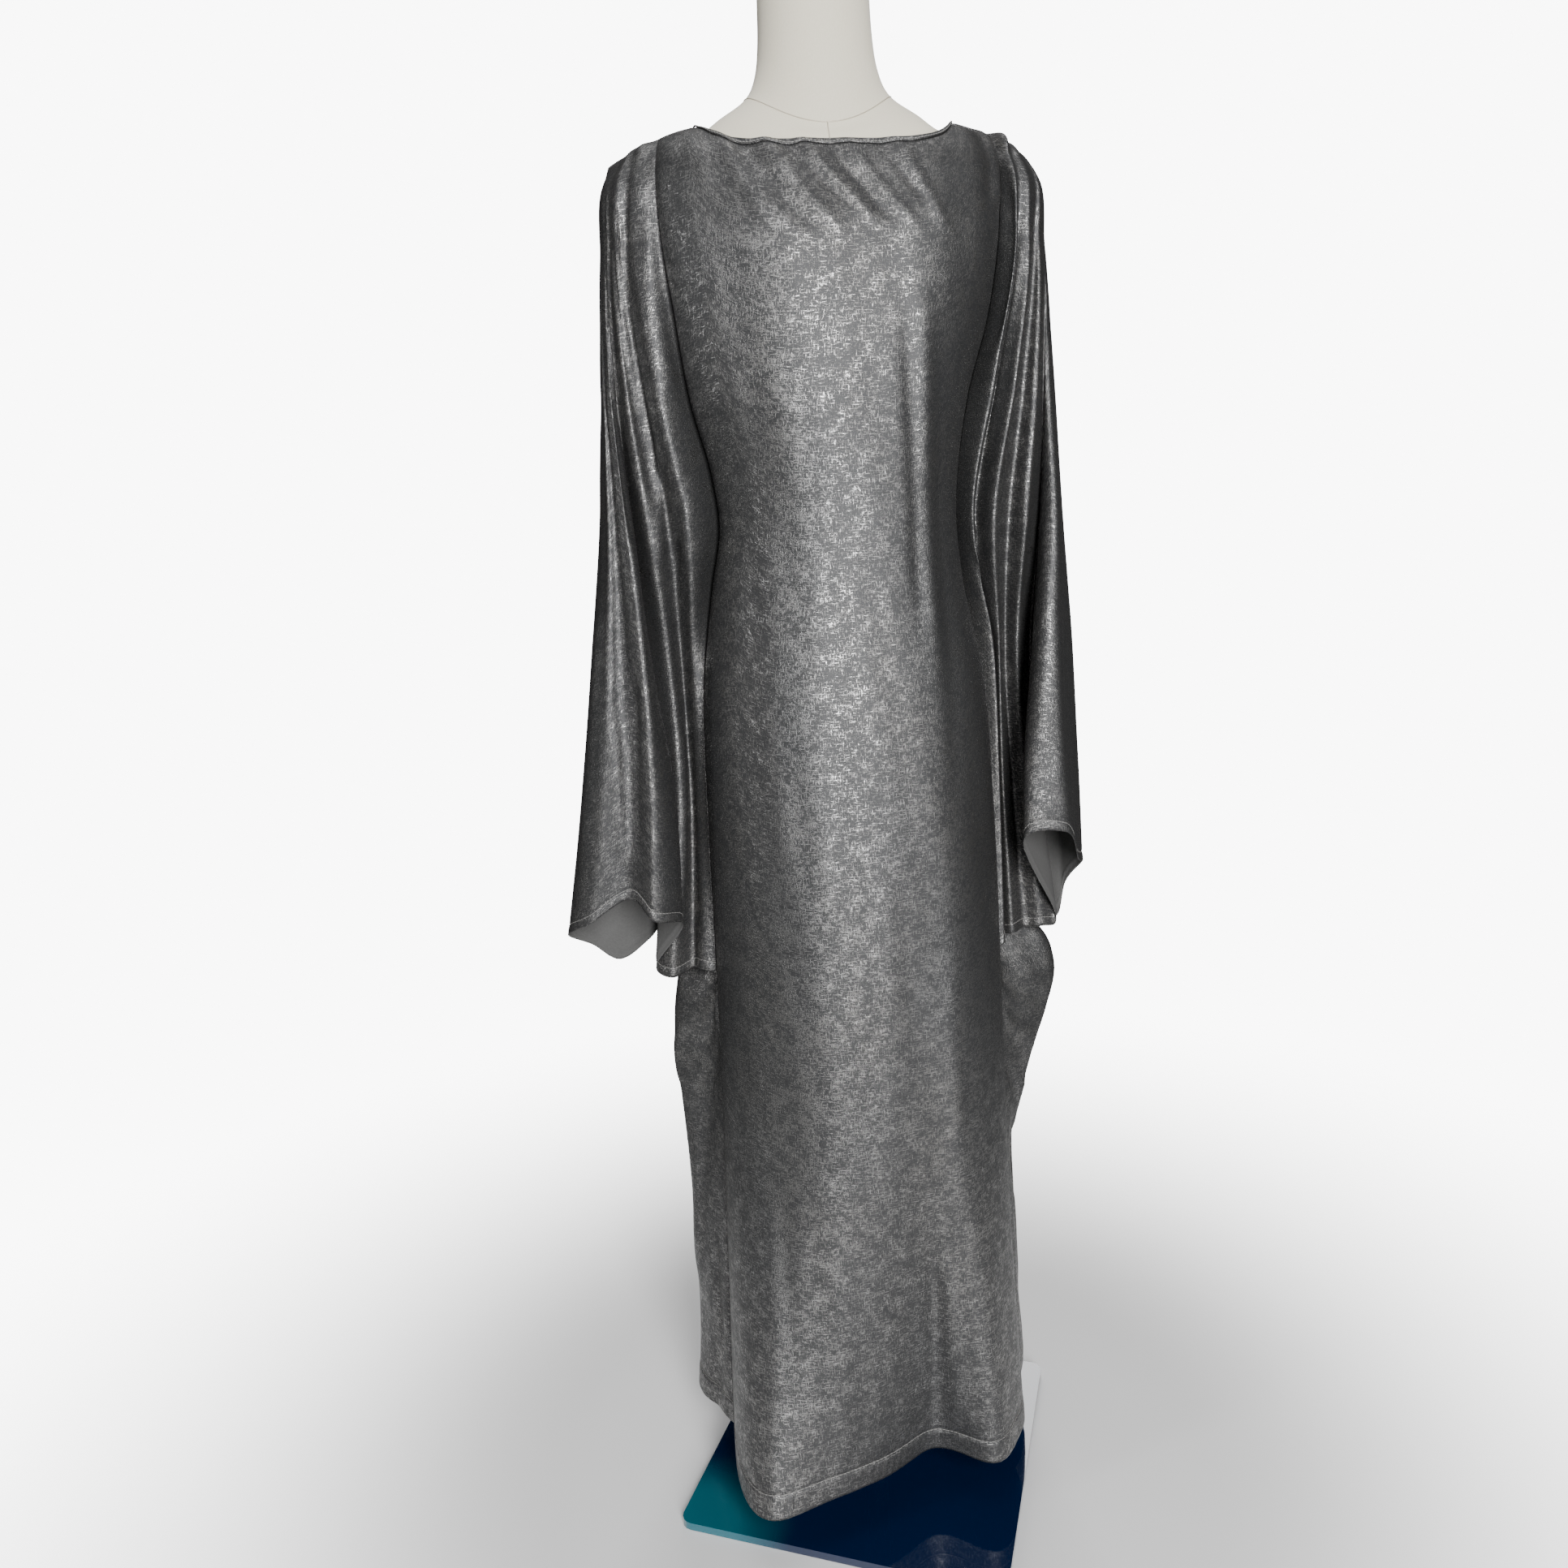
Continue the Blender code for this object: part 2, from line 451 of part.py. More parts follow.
def sheet_mesh(name, points):
    """Quads between neighbouring rows and columns of points."""
    rows, columns = points.shape[:2]
    index = np.arange(rows * columns).reshape(rows, columns)
    quads = np.stack([index[:-1, :-1], index[1:, :-1], index[1:, 1:], index[:-1, 1:]], -1)
    mesh = bpy.data.meshes.new(name)
    mesh.from_pydata(points.reshape(-1, 3).tolist(), [], quads.reshape(-1, 4).tolist())
    return mesh


def add_sheet(name, points, material, wall=CLOTH_WALL):
    made = add_object(name, sheet_mesh(name, points), material)
    solid = made.modifiers.new("wall", "SOLIDIFY")
    solid.thickness = wall
    solid.offset = 0.0
    return made


def surface_normals(points):
    across = np.gradient(points, axis=1)
    down = np.gradient(points, axis=0)
    normal = np.cross(down, across)
    return normal / np.linalg.norm(normal, axis=-1, keepdims=True)


def add_cloth(form):
    front = rest_on(form, front_points())
    back = rest_on(form, back_points())
    for side, word, folds, table in (
        (-1, "left", LEFT_FOLDS, LEFT_CASCADE),
        (1, "right", RIGHT_FOLDS, RIGHT_CASCADE),
    ):
        wing, outer = wing_points(folds, side)
        wing = rest_on(form, wing)
        wing_front = wing[:, : outer + 1].copy()
        wing_back = wing[:, outer:].copy()
        cascade = cascade_points(table, side)
        edge, second = (0, 1) if side < 0 else (-1, -2)
        upper = len(wing)
        part_at_seam(front[:upper, edge], wing_front[:, 0], front[:upper, second], wing_front[:, 1])
        part_at_seam(back[:upper, edge], wing_back[:, -1], back[:upper, second], wing_back[:, -2])
        part_at_seam(wing_front[:, -1], wing_back[:, 0], wing_front[:, -2], wing_back[:, 1])
        sewn = cascade[TUCKED_ROWS + 1 :]
        before = sewn[0, [0, -1]].copy()
        part_at_seam(front[upper:, edge], sewn[:, 0], front[upper:, second], sewn[:, 1])
        part_at_seam(back[upper:, edge], sewn[:, -1], back[upper:, second], sewn[:, -2])
        cascade[TUCKED_ROWS, [0, -1]] += sewn[0, [0, -1]] - before
        add_sheet("wing_front_" + word, wing_front, CLOTH)
        add_sheet("wing_back_" + word, wing_back, CLOTH)
        add_sheet("cascade_" + word, cascade, CLOTH)
    add_sheet("front_panel", front, CLOTH)
    add_sheet("back_panel", back, CLOTH)
    add_neck_band("front", front, -1, FRONT_BAND_GAP)
    add_neck_band("back", back, 1, BACK_BAND_GAP)


def add_neck_band(word, panel, outward, gap):
    """A narrow band on the neckline, made from the panel's upper points moved out."""
    normal = surface_normals(panel)
    normal *= np.sign(normal[3, len(normal[0]) // 2, 1]) * outward
    moved = panel + normal * (CLOTH_WALL / 2 + gap + BAND_WALL / 2)
    inner = np.abs(panel[0, :, 0]) <= SHOULDER_END_X + 0.001
    top, second, third = moved[:3, inner]
    step = np.linalg.norm(second - top, axis=1, keepdims=True)
    left = np.clip(BAND_WIDTH - step, 0.001, None)
    low = second + (third - second) * left / np.linalg.norm(third - second, axis=1, keepdims=True)
    add_sheet("neck_band_" + word, np.stack([top, second, low]), CLOTH, BAND_WALL)


def ring_points(row, sides):
    half, front, back, side_z, front_z, back_z = row
    angle = np.arange(sides) * 2 * math.pi / sides
    sine = np.sin(angle)
    depth = np.where(sine < 0, front, back)
    end_z = np.where(sine < 0, front_z, back_z)
    z = side_z + (end_z - side_z) * sine**2
    return np.stack([half * np.cos(angle), depth * sine, z], -1)


def add_form():
    """The torso: rings from the neck down, joined by quads and closed by a flat face at each end."""
    rings = [ring_points(row, FORM_SIDES) for row in FORM_RINGS]
    count = len(rings)
    quads = []
    for level in range(count - 1):
        for k in range(FORM_SIDES):
            after = (k + 1) % FORM_SIDES
            quads.append(
                (
                    level * FORM_SIDES + k,
                    (level + 1) * FORM_SIDES + k,
                    (level + 1) * FORM_SIDES + after,
                    level * FORM_SIDES + after,
                )
            )
    top = list(range(FORM_SIDES))
    bottom = [(count - 1) * FORM_SIDES + k for k in reversed(range(FORM_SIDES))]
    mesh = bpy.data.meshes.new("dress_form")
    mesh.from_pydata(np.concatenate(rings).tolist(), [], quads + [top, bottom])
    return add_object("dress_form", mesh, JERSEY)


def add_turned(name, profile, material, steps=32):
    """A turned piece: its profile, at +X from top to bottom, screwed round the pole's axis."""
    mesh = bpy.data.meshes.new(name)
    edges = [(k, k + 1) for k in range(len(profile) - 1)]
    mesh.from_pydata([(r, 0, z) for r, z in profile], edges, [])
    made = add_object(name, mesh, material)
    screw = made.modifiers.new("turn", "SCREW")
    screw.steps = steps
    screw.render_steps = steps
    screw.use_merge_vertices = True
    screw.merge_threshold = 0.0001
    return made


def disc(radius, low, high, edge):
    return [(0, high), (radius - edge, high), (radius, high - edge), (radius, low), (0, low)]


def add_stand():
    mesh = bpy.data.meshes.new("base_plate")
    shape = bmesh.new()
    bmesh.ops.create_cube(shape, size=1.0)
    bmesh.ops.scale(shape, vec=(PLATE_SIDE, PLATE_SIDE, PLATE_THICKNESS), verts=shape.verts)
    bmesh.ops.translate(shape, vec=(0, 0, PLATE_THICKNESS / 2), verts=shape.verts)
    upright = [e for e in shape.edges if abs(e.verts[0].co.z - e.verts[1].co.z) > 0.001]
    bmesh.ops.bevel(shape, geom=upright, offset=PLATE_CORNER, segments=4, affect="EDGES", profile=0.5)
    shape.to_mesh(mesh)
    shape.free()
    plate = add_object("base_plate", mesh, GLASS)
    plate.rotation_euler.z = PLATE_TURN
    foot = PLATE_THICKNESS + SEAM_GAP
    add_turned("pole_socket", disc(SOCKET_RADIUS, foot, foot + SOCKET_HEIGHT, 0.003), METAL)
    low = foot + SOCKET_HEIGHT + SEAM_GAP
    flange_low = FORM_BOTTOM_Z - SEAM_GAP - FLANGE_HEIGHT
    add_turned("pole", disc(POLE_RADIUS, low, flange_low - SEAM_GAP, 0.001), METAL, 24)
    add_turned("form_flange", disc(FLANGE_RADIUS, flange_low, FORM_BOTTOM_Z - SEAM_GAP, 0.002), METAL)
    radius = FORM_RINGS[0][0] - 0.001
    add_turned("neck_cap", disc(radius, NECK_TOP_Z, NECK_TOP_Z + CAP_HEIGHT, 0.003), WOOD)


remove_everything()
PARTS = bpy.data.collections.new("butterfly_abaya_on_dress_form")
bpy.context.scene.collection.children.link(PARTS)
CLOTH = make_material("foil_cloth", (0.16, 0.155, 0.15), 0.38, 0.8)
JERSEY = make_material("cream_jersey", (0.80, 0.77, 0.68), 0.9, 0.0)
METAL = make_material("stand_steel", (0.62, 0.62, 0.60), 0.35, 1.0)
GLASS = make_material("teal_glass", (0.01, 0.22, 0.28), 0.08, 0.0)
WOOD = make_material("cap_wood", (0.45, 0.30, 0.18), 0.5, 0.0)
add_stand()
add_cloth(add_form())
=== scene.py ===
"""The butterfly abaya of metallic cloth on its dress form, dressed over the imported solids.

Metres, +Z up. The front of the dress faces -Y and the pole stands on the origin.
"""

import math

import bpy
import numpy as np
from mathutils import Matrix, Vector


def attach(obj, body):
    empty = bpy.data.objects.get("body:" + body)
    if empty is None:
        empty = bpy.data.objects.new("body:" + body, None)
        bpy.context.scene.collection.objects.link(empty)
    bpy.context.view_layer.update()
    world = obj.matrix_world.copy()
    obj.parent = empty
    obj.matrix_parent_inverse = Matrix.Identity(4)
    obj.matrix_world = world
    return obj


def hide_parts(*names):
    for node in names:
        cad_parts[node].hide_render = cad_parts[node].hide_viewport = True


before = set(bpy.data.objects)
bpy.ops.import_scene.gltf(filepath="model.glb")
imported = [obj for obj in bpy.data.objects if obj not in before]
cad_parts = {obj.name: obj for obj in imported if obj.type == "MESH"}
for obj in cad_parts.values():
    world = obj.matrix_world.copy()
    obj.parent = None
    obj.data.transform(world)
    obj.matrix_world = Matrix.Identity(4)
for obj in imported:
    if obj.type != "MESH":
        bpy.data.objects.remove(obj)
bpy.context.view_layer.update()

CLOTH_WALL = 0.0015
SEAM_GAP = 0.0003
SHARPEST_SEAM = -0.95
CLEAR_OF_FORM = 0.0018
BAND_WALL = 0.0010
BAND_WIDTH = 0.0070
FRONT_BAND_GAP = 0.0016
BACK_BAND_GAP = 0.0010

SHOULDER_Z = 1.3840
SHOULDER_END_X = 0.121
SHOULDER_END_Z = 1.3895
HALF_SHOULDER_GAP = 0.0007
SEAM_X = 0.150
TIP_REACH = 0.052
TIP_DROP = 0.0215
TIP_CURVE = 1.5
FRONT_NECK_Z = 1.3500
BACK_NECK_Z = 1.3720
NECK_CORNER = 5.0
HEM_Z = 0.060

PLATE_SIDE = 0.340
PLATE_THICKNESS = 0.008
PLATE_CORNER = 0.012
PLATE_TURN = math.radians(-23.5)
POLE_RADIUS = 0.0125
SOCKET_RADIUS = 0.026
SOCKET_HEIGHT = 0.030
FLANGE_RADIUS = 0.045
FLANGE_HEIGHT = 0.012
FORM_BOTTOM_Z = 0.700
NECK_TOP_Z = 1.530
CAP_HEIGHT = 0.010

# Rings of the dress form from the neck down. A ring's height changes from its sides to its front
# and its back, as the neck seam and the shoulders do.
# columns: half width, front depth, back depth, height at the sides, at the front, at the back
FORM_RINGS = (
    (0.0520, 0.0520, 0.0540, 1.5297, 1.5297, 1.5297),
    (0.0540, 0.0530, 0.0560, 1.4700, 1.4650, 1.4750),
    (0.0590, 0.0550, 0.0590, 1.4380, 1.4150, 1.4400),
    (0.0700, 0.0600, 0.0640, 1.4180, 1.3770, 1.4130),
    (0.0950, 0.0680, 0.0670, 1.4010, 1.3610, 1.3960),
    (0.1180, 0.0700, 0.0660, 1.3864, 1.3410, 1.3700),
    (0.1450, 0.0810, 0.0780, 1.3832, 1.3290, 1.3520),
    (0.1680, 0.0900, 0.0860, 1.3735, 1.3130, 1.3320),
    (0.1810, 0.0970, 0.0900, 1.3600, 1.2960, 1.3100),
    (0.1840, 0.1040, 0.0940, 1.3420, 1.2740, 1.2860),
    (0.1640, 0.1110, 0.0960, 1.2980, 1.2440, 1.2540),
    (0.1350, 0.1140, 0.0950, 1.2350, 1.2050, 1.2100),
    (0.1180, 0.1040, 0.0880, 1.1550, 1.1400, 1.1400),
    (0.1080, 0.0920, 0.0800, 1.0800, 1.0800, 1.0800),
    (0.1050, 0.0870, 0.0780, 1.0250, 1.0250, 1.0250),
    (0.1140, 0.0930, 0.0870, 0.9650, 0.9650, 0.9650),
    (0.1290, 0.1020, 0.1040, 0.9000, 0.9000, 0.9000),
    (0.1340, 0.1060, 0.1100, 0.8400, 0.8400, 0.8400),
    (0.1330, 0.1040, 0.1060, 0.7700, 0.7700, 0.7700),
    (0.1260, 0.0950, 0.0960, FORM_BOTTOM_Z, FORM_BOTTOM_Z, FORM_BOTTOM_Z),
)
FORM_SIDES = 32

# Sections of the front panel, which the inner belt draws to the waist.
# columns: height, left seam, right seam, depth at the left seam, at the right seam, at the middle,
# power of the section's arc: 1 for half an ellipse, less for a squarer one
FRONT_SECTIONS = (
    (SHOULDER_Z, -0.1500, 0.1500, -HALF_SHOULDER_GAP, -HALF_SHOULDER_GAP,
     -HALF_SHOULDER_GAP, 1.00),
    (1.3800, -0.1510, 0.1510, -0.0190, -0.0190, -0.0300, 1.00),
    (1.3700, -0.1530, 0.1530, -0.0370, -0.0370, -0.0620, 1.00),
    (1.3500, -0.1560, 0.1555, -0.0530, -0.0530, -0.0890, 1.00),
    (1.3000, -0.1570, 0.1555, -0.0610, -0.0610, -0.1130, 1.00),
    (1.2110, -0.1480, 0.1460, -0.0570, -0.0480, -0.1240, 1.00),
    (1.1380, -0.1380, 0.1270, -0.0430, -0.0360, -0.1200, 1.00),
    (1.0800, -0.1230, 0.1185, -0.0280, -0.0270, -0.1130, 1.00),
    (1.0270, -0.1170, 0.1170, -0.0160, -0.0160, -0.1080, 1.00),
    (0.9700, -0.1270, 0.1240, -0.0040, -0.0040, -0.1080, 1.00),
    (0.8700, -0.1410, 0.1440, 0.0000, 0.0000, -0.1150, 1.00),
    (0.7400, -0.1450, 0.1510, 0.0000, 0.0000, -0.1190, 1.00),
    (0.5700, -0.1460, 0.1550, 0.0000, 0.0000, -0.1220, 1.00),
    (0.3500, -0.1500, 0.1570, 0.0000, 0.0000, -0.1240, 0.92),
    (0.1800, -0.1520, 0.1590, -0.0050, -0.0030, -0.1220, 0.70),
    (HEM_Z, -0.1540, 0.1600, -0.0200, -0.0120, -0.1190, 0.50),
)
# Long soft folds of the front: where each lies, from -1 at the left seam to 1 at the right one.
# columns: place at the top, place at the hem, half width, rise at the chest, waist, knee, hem
FRONT_FOLDS = (
    (-0.66, -0.72, 0.40, 0.000, 0.000, 0.012, 0.092),
    (-0.25, -0.20, 0.14, 0.003, 0.001, 0.003, 0.004),
    (0.10, 0.20, 0.17, -0.002, -0.001, -0.004, -0.028),
    (0.36, 0.48, 0.16, 0.003, 0.002, 0.003, 0.022),
)
FOLD_HEIGHTS = (1.22, 1.00, 0.40, HEM_Z)
FOLDS_START_OVER = 0.06
SIDEWAYS_SHARE = 0.1

# Sections of the back panel, which hangs free of the waist like a cape.
# columns: height, half width at the seams, depth at the seams, depth at the middle
BACK_SECTIONS = (
    (SHOULDER_Z, 0.1500, HALF_SHOULDER_GAP, HALF_SHOULDER_GAP),
    (1.3800, 0.1520, 0.0200, 0.0400),
    (1.3700, 0.1550, 0.0370, 0.0760),
    (1.3500, 0.1580, 0.0530, 0.0960),
    (1.3000, 0.1590, 0.0650, 0.1100),
    (1.1800, 0.1610, 0.0700, 0.1160),
    (1.0000, 0.1640, 0.0730, 0.1220),
    (0.8400, 0.1670, 0.0740, 0.1280),
    (0.5700, 0.1720, 0.0760, 0.1340),
    (0.3000, 0.1780, 0.0790, 0.1400),
    (HEM_Z, 0.1840, 0.0820, 0.1460),
)
BACK_FULLNESS = 0.8
# Folds of the cape, from -1 at the left seam to 1 at the right one.
# columns: place at the top, place at the hem, half width, rise at the chest, waist, knee, hem
BACK_FOLDS = (
    (-0.74, -0.78, 0.12, 0.003, 0.008, 0.013, 0.018),
    (-0.44, -0.50, 0.11, -0.002, -0.007, -0.011, -0.014),
    (-0.18, -0.22, 0.13, 0.002, 0.007, 0.012, 0.020),
    (0.10, 0.09, 0.10, -0.001, -0.005, -0.010, -0.013),
    (0.33, 0.36, 0.12, 0.002, 0.008, 0.013, 0.017),
    (0.56, 0.61, 0.09, -0.001, -0.006, -0.009, -0.013),
    (0.78, 0.84, 0.10, 0.003, 0.007, 0.012, 0.017),
)

# A wing is the sleeve cut in one with the side of the dress. Each row is the line of one fold, in
# order from the front seam round the outer edge to the back seam: (sideways, depth) at each height.
WING_HEIGHTS = (1.345, 1.280, 1.150, 1.030, 0.900, 0.770)
# columns: kind of line, sideways at the shoulder, then (sideways, depth) at each of WING_HEIGHTS,
# then (sideways, depth, height) at the lower edge
LEFT_FOLDS = (
    ("crest", 0.163, (0.172, 0.050), (0.177, 0.060), (0.168, 0.067), (0.149, 0.047), (0.152, 0.003),
     (0.155, -0.008), (0.162, -0.004, 0.575)),
    ("valley", 0.169, (0.182, 0.044), (0.189, 0.046), (0.180, 0.042), (0.166, 0.022), (0.162, -0.012),
     (0.162, -0.022), (0.170, -0.022, 0.572)),
    ("crest", 0.175, (0.189, 0.042), (0.198, 0.044), (0.197, 0.049), (0.187, 0.036), (0.175, 0.006),
     (0.172, -0.004), (0.194, -0.008, 0.567)),
    ("valley", 0.181, (0.195, 0.033), (0.203, 0.035), (0.205, 0.030), (0.203, 0.012), (0.200, -0.010),
     (0.192, -0.014), (0.210, -0.020, 0.578)),
    ("edge", 0.186, (0.199, 0.028), (0.206, 0.030), (0.208, 0.028), (0.200, 0.032), (0.191, 0.026),
     (0.177, 0.022), (0.178, 0.016, 0.630)),
    ("crest", 0.190, (0.202, 0.023), (0.209, 0.026), (0.212, 0.034), (0.206, 0.049), (0.200, 0.055),
     (0.198, 0.055), (0.207, 0.045, 0.644)),
    ("valley", 0.194, (0.204, 0.017), (0.212, 0.020), (0.217, 0.025), (0.216, 0.036), (0.218, 0.036),
     (0.224, 0.034), (0.230, 0.024, 0.664)),
    ("crest", 0.197, (0.206, 0.011), (0.214, 0.013), (0.221, 0.020), (0.225, 0.031), (0.237, 0.035),
     (0.252, 0.036), (0.272, 0.026, 0.641)),
    ("outer", 0.2005, (0.207, 0.000), (0.214, 0.000), (0.224, 0.000), (0.235, 0.000), (0.253, 0.000),
     (0.272, 0.000), (0.297, 0.000, 0.624)),
    ("crest", 0.194, (0.204, -0.020), (0.209, -0.024), (0.218, -0.027), (0.228, -0.030),
     (0.243, -0.028), (0.260, -0.028), (0.275, -0.020, 0.606)),
    ("valley", 0.187, (0.196, -0.033), (0.201, -0.038), (0.206, -0.040), (0.212, -0.040),
     (0.222, -0.036), (0.234, -0.034), (0.248, -0.032, 0.584)),
    ("crest", 0.177, (0.185, -0.046), (0.190, -0.054), (0.194, -0.060), (0.198, -0.064),
     (0.204, -0.062), (0.208, -0.058), (0.216, -0.046, 0.600)),
    ("valley", 0.164, (0.172, -0.051), (0.175, -0.060), (0.178, -0.066), (0.182, -0.068),
     (0.186, -0.068), (0.189, -0.066), (0.192, -0.062, 0.618)),
)
RIGHT_FOLDS = (
    ("crest", 0.160, (0.166, 0.064), (0.167, 0.078), (0.147, 0.064), (0.130, 0.040), (0.155, 0.012),
     (0.161, 0.004), (0.164, 0.000, 0.580)),
    ("valley", 0.166, (0.174, 0.048), (0.173, 0.055), (0.155, 0.044), (0.137, 0.022), (0.154, -0.006),
     (0.160, -0.016), (0.166, -0.018, 0.583)),
    ("crest", 0.174, (0.184, 0.046), (0.186, 0.057), (0.169, 0.062), (0.150, 0.046), (0.161, 0.012),
     (0.166, -0.002), (0.176, -0.010, 0.586)),
    ("valley", 0.180, (0.192, 0.037), (0.194, 0.040), (0.182, 0.038), (0.170, 0.026), (0.171, 0.000),
     (0.178, -0.014), (0.192, -0.022, 0.588)),
    ("crest", 0.186, (0.197, 0.034), (0.202, 0.038), (0.196, 0.045), (0.184, 0.044), (0.180, 0.014),
     (0.190, -0.004), (0.208, -0.014, 0.590)),
    ("valley", 0.190, (0.201, 0.026), (0.207, 0.028), (0.206, 0.026), (0.204, 0.018), (0.198, 0.000),
     (0.206, -0.010), (0.226, -0.014, 0.600)),
    ("edge", 0.193, (0.204, 0.021), (0.211, 0.022), (0.211, 0.030), (0.202, 0.040), (0.186, 0.044),
     (0.173, 0.048), (0.171, 0.050, 0.699)),
    ("crest", 0.196, (0.206, 0.015), (0.214, 0.016), (0.217, 0.024), (0.213, 0.046), (0.205, 0.062),
     (0.208, 0.062), (0.214, 0.058, 0.708)),
    ("valley", 0.1985, (0.208, 0.009), (0.216, 0.009), (0.222, 0.014), (0.225, 0.022), (0.228, 0.030),
     (0.230, 0.032), (0.236, 0.028, 0.672)),
    ("outer", 0.2025, (0.209, 0.000), (0.216, 0.000), (0.226, 0.000), (0.232, 0.000), (0.241, 0.000),
     (0.247, 0.000), (0.250, 0.000, 0.662)),
    ("crest", 0.195, (0.204, -0.020), (0.210, -0.024), (0.217, -0.028), (0.223, -0.030),
     (0.231, -0.032), (0.238, -0.030), (0.241, -0.028, 0.634)),
    ("valley", 0.187, (0.196, -0.033), (0.201, -0.038), (0.205, -0.042), (0.209, -0.044),
     (0.214, -0.044), (0.222, -0.042), (0.234, -0.036, 0.594)),
    ("crest", 0.177, (0.185, -0.046), (0.190, -0.054), (0.193, -0.060), (0.196, -0.064),
     (0.200, -0.063), (0.204, -0.062), (0.212, -0.054, 0.588)),
    ("valley", 0.164, (0.172, -0.051), (0.175, -0.060), (0.178, -0.066), (0.181, -0.069),
     (0.185, -0.070), (0.188, -0.070), (0.190, -0.066, 0.586)),
)
# Just under its shoulder a fold line has dropped and moved out this far, with this much of its depth.
FIRST_DROP = 0.006
FIRST_OUT = 0.002
FIRST_SHARE = 0.45
WING_BOTTOM_Z = 0.572
CASCADE_SEAM_Z = 0.558
TUCKED_ROWS = 2

# The side of the skirt below each wing: a cascade that swings out, is pinched in and falls to the
# hem. columns: height, then (sideways, depth) of the front edge, the pinch, the outer fold, the
# hollow behind it and the back edge
LEFT_CASCADE = (
    (0.600, (0.1390, -0.006), (0.1440, -0.016), (0.1600, -0.036), (0.1620, -0.054), (0.1600, -0.0670)),
    (0.576, (0.1390, -0.006), (0.1440, -0.016), (0.1800, -0.042), (0.1780, -0.058), (0.1620, -0.0690)),
    (0.545, (0.1440, -0.006), (0.1570, -0.010), (0.1890, -0.040), (0.1840, -0.062), (0.1700, -0.0740)),
    (0.480, (0.1450, -0.006), (0.1540, -0.016), (0.1950, -0.048), (0.1860, -0.070), (0.1740, -0.0755)),
    (0.430, (0.1465, -0.006), (0.1600, -0.024), (0.1930, -0.052), (0.1860, -0.072), (0.1755, -0.0765)),
    (0.300, (0.1490, -0.006), (0.1700, -0.028), (0.1880, -0.058), (0.1870, -0.076), (0.1785, -0.0790)),
    (0.200, (0.1495, -0.006), (0.1730, -0.024), (0.1890, -0.058), (0.1890, -0.078), (0.1810, -0.0805)),
    (0.165, (0.1500, -0.004), (0.1700, -0.014), (0.1830, -0.046), (0.1890, -0.074), (0.1820, -0.0810)),
    (0.110, (0.1510, 0.004), (0.1710, -0.012), (0.1870, -0.042), (0.1910, -0.070), (0.1835, -0.0815)),
    (HEM_Z, (0.1520, 0.012), (0.1750, -0.010), (0.1930, -0.038), (0.1950, -0.066), (0.1850, -0.0825)),
)
RIGHT_CASCADE = (
    (0.600, (0.1470, -0.006), (0.1500, -0.018), (0.1960, -0.038), (0.1820, -0.056), (0.1600, -0.0670)),
    (0.576, (0.1470, -0.006), (0.1560, -0.016), (0.2180, -0.034), (0.1960, -0.057), (0.1620, -0.0690)),
    (0.545, (0.1530, -0.006), (0.1680, -0.008), (0.2270, -0.030), (0.2060, -0.058), (0.1710, -0.0740)),
    (0.490, (0.1545, -0.006), (0.1700, -0.008), (0.2190, -0.034), (0.2030, -0.062), (0.1740, -0.0755)),
    (0.430, (0.1550, -0.006), (0.1720, -0.014), (0.2020, -0.040), (0.1960, -0.066), (0.1755, -0.0765)),
    (0.330, (0.1560, -0.006), (0.1680, -0.018), (0.1760, -0.042), (0.1860, -0.066), (0.1785, -0.0790)),
    (0.250, (0.1570, -0.006), (0.1720, -0.018), (0.1800, -0.046), (0.1880, -0.070), (0.1800, -0.0795)),
    (0.150, (0.1580, -0.004), (0.1750, -0.016), (0.1830, -0.048), (0.1890, -0.074), (0.1830, -0.0810)),
    (0.085, (0.1580, 0.002), (0.1750, -0.010), (0.1860, -0.040), (0.1900, -0.070), (0.1840, -0.0820)),
    (HEM_Z, (0.1585, 0.006), (0.1730, -0.008), (0.1840, -0.034), (0.1900, -0.066), (0.1850, -0.0825)),
)

# Heights of the rows at the seams: close together over the shoulder and the waist.
SEAM_ROWS = (
    SHOULDER_Z, 1.3800, 1.3720, 1.3580, 1.3300, 1.2900, 1.2400, 1.1850, 1.1300, 1.0750, 1.0200, 0.9600,
    0.8900, 0.8100, 0.7200, 0.6400, WING_BOTTOM_Z, 0.4900, 0.4100, 0.3200, 0.2400, 0.1650, 0.1100,
    HEM_Z,
)


TUCKED_FINE = 12


def smooth(knots, values, at):
    """Values at the places asked for, on a cubic through the knots with slopes from neighbours."""
    knots, values, at = (np.asarray(item, float) for item in (knots, values, at))
    steps = np.diff(knots)
    slopes = np.diff(values, axis=0) / steps[:, None]
    inner = (slopes[:-1] * steps[1:, None] + slopes[1:] * steps[:-1, None]) / (
        steps[1:, None] + steps[:-1, None]
    )
    tangents = np.concatenate([slopes[:1], inner, slopes[-1:]])
    span = np.clip(np.searchsorted(knots, at, side="right") - 1, 0, len(steps) - 1)
    step = steps[span][:, None]
    t = ((at - knots[span]) / steps[span])[:, None]
    return (
        values[span] * (2 * t**3 - 3 * t**2 + 1)
        + values[span + 1] * (3 * t**2 - 2 * t**3)
        + tangents[span] * step * (t**3 - 2 * t**2 + t)
        + tangents[span + 1] * step * (t**3 - t**2)
    )


def by_height(table, heights):
    """Columns of a table at the heights asked for: its first column is height, falling."""
    table = np.asarray(table, float)
    flat = np.clip(np.ravel(heights), table[-1, 0], table[0, 0])
    return smooth(-table[:, 0], table[:, 1:], -flat).reshape(*np.shape(heights), -1)


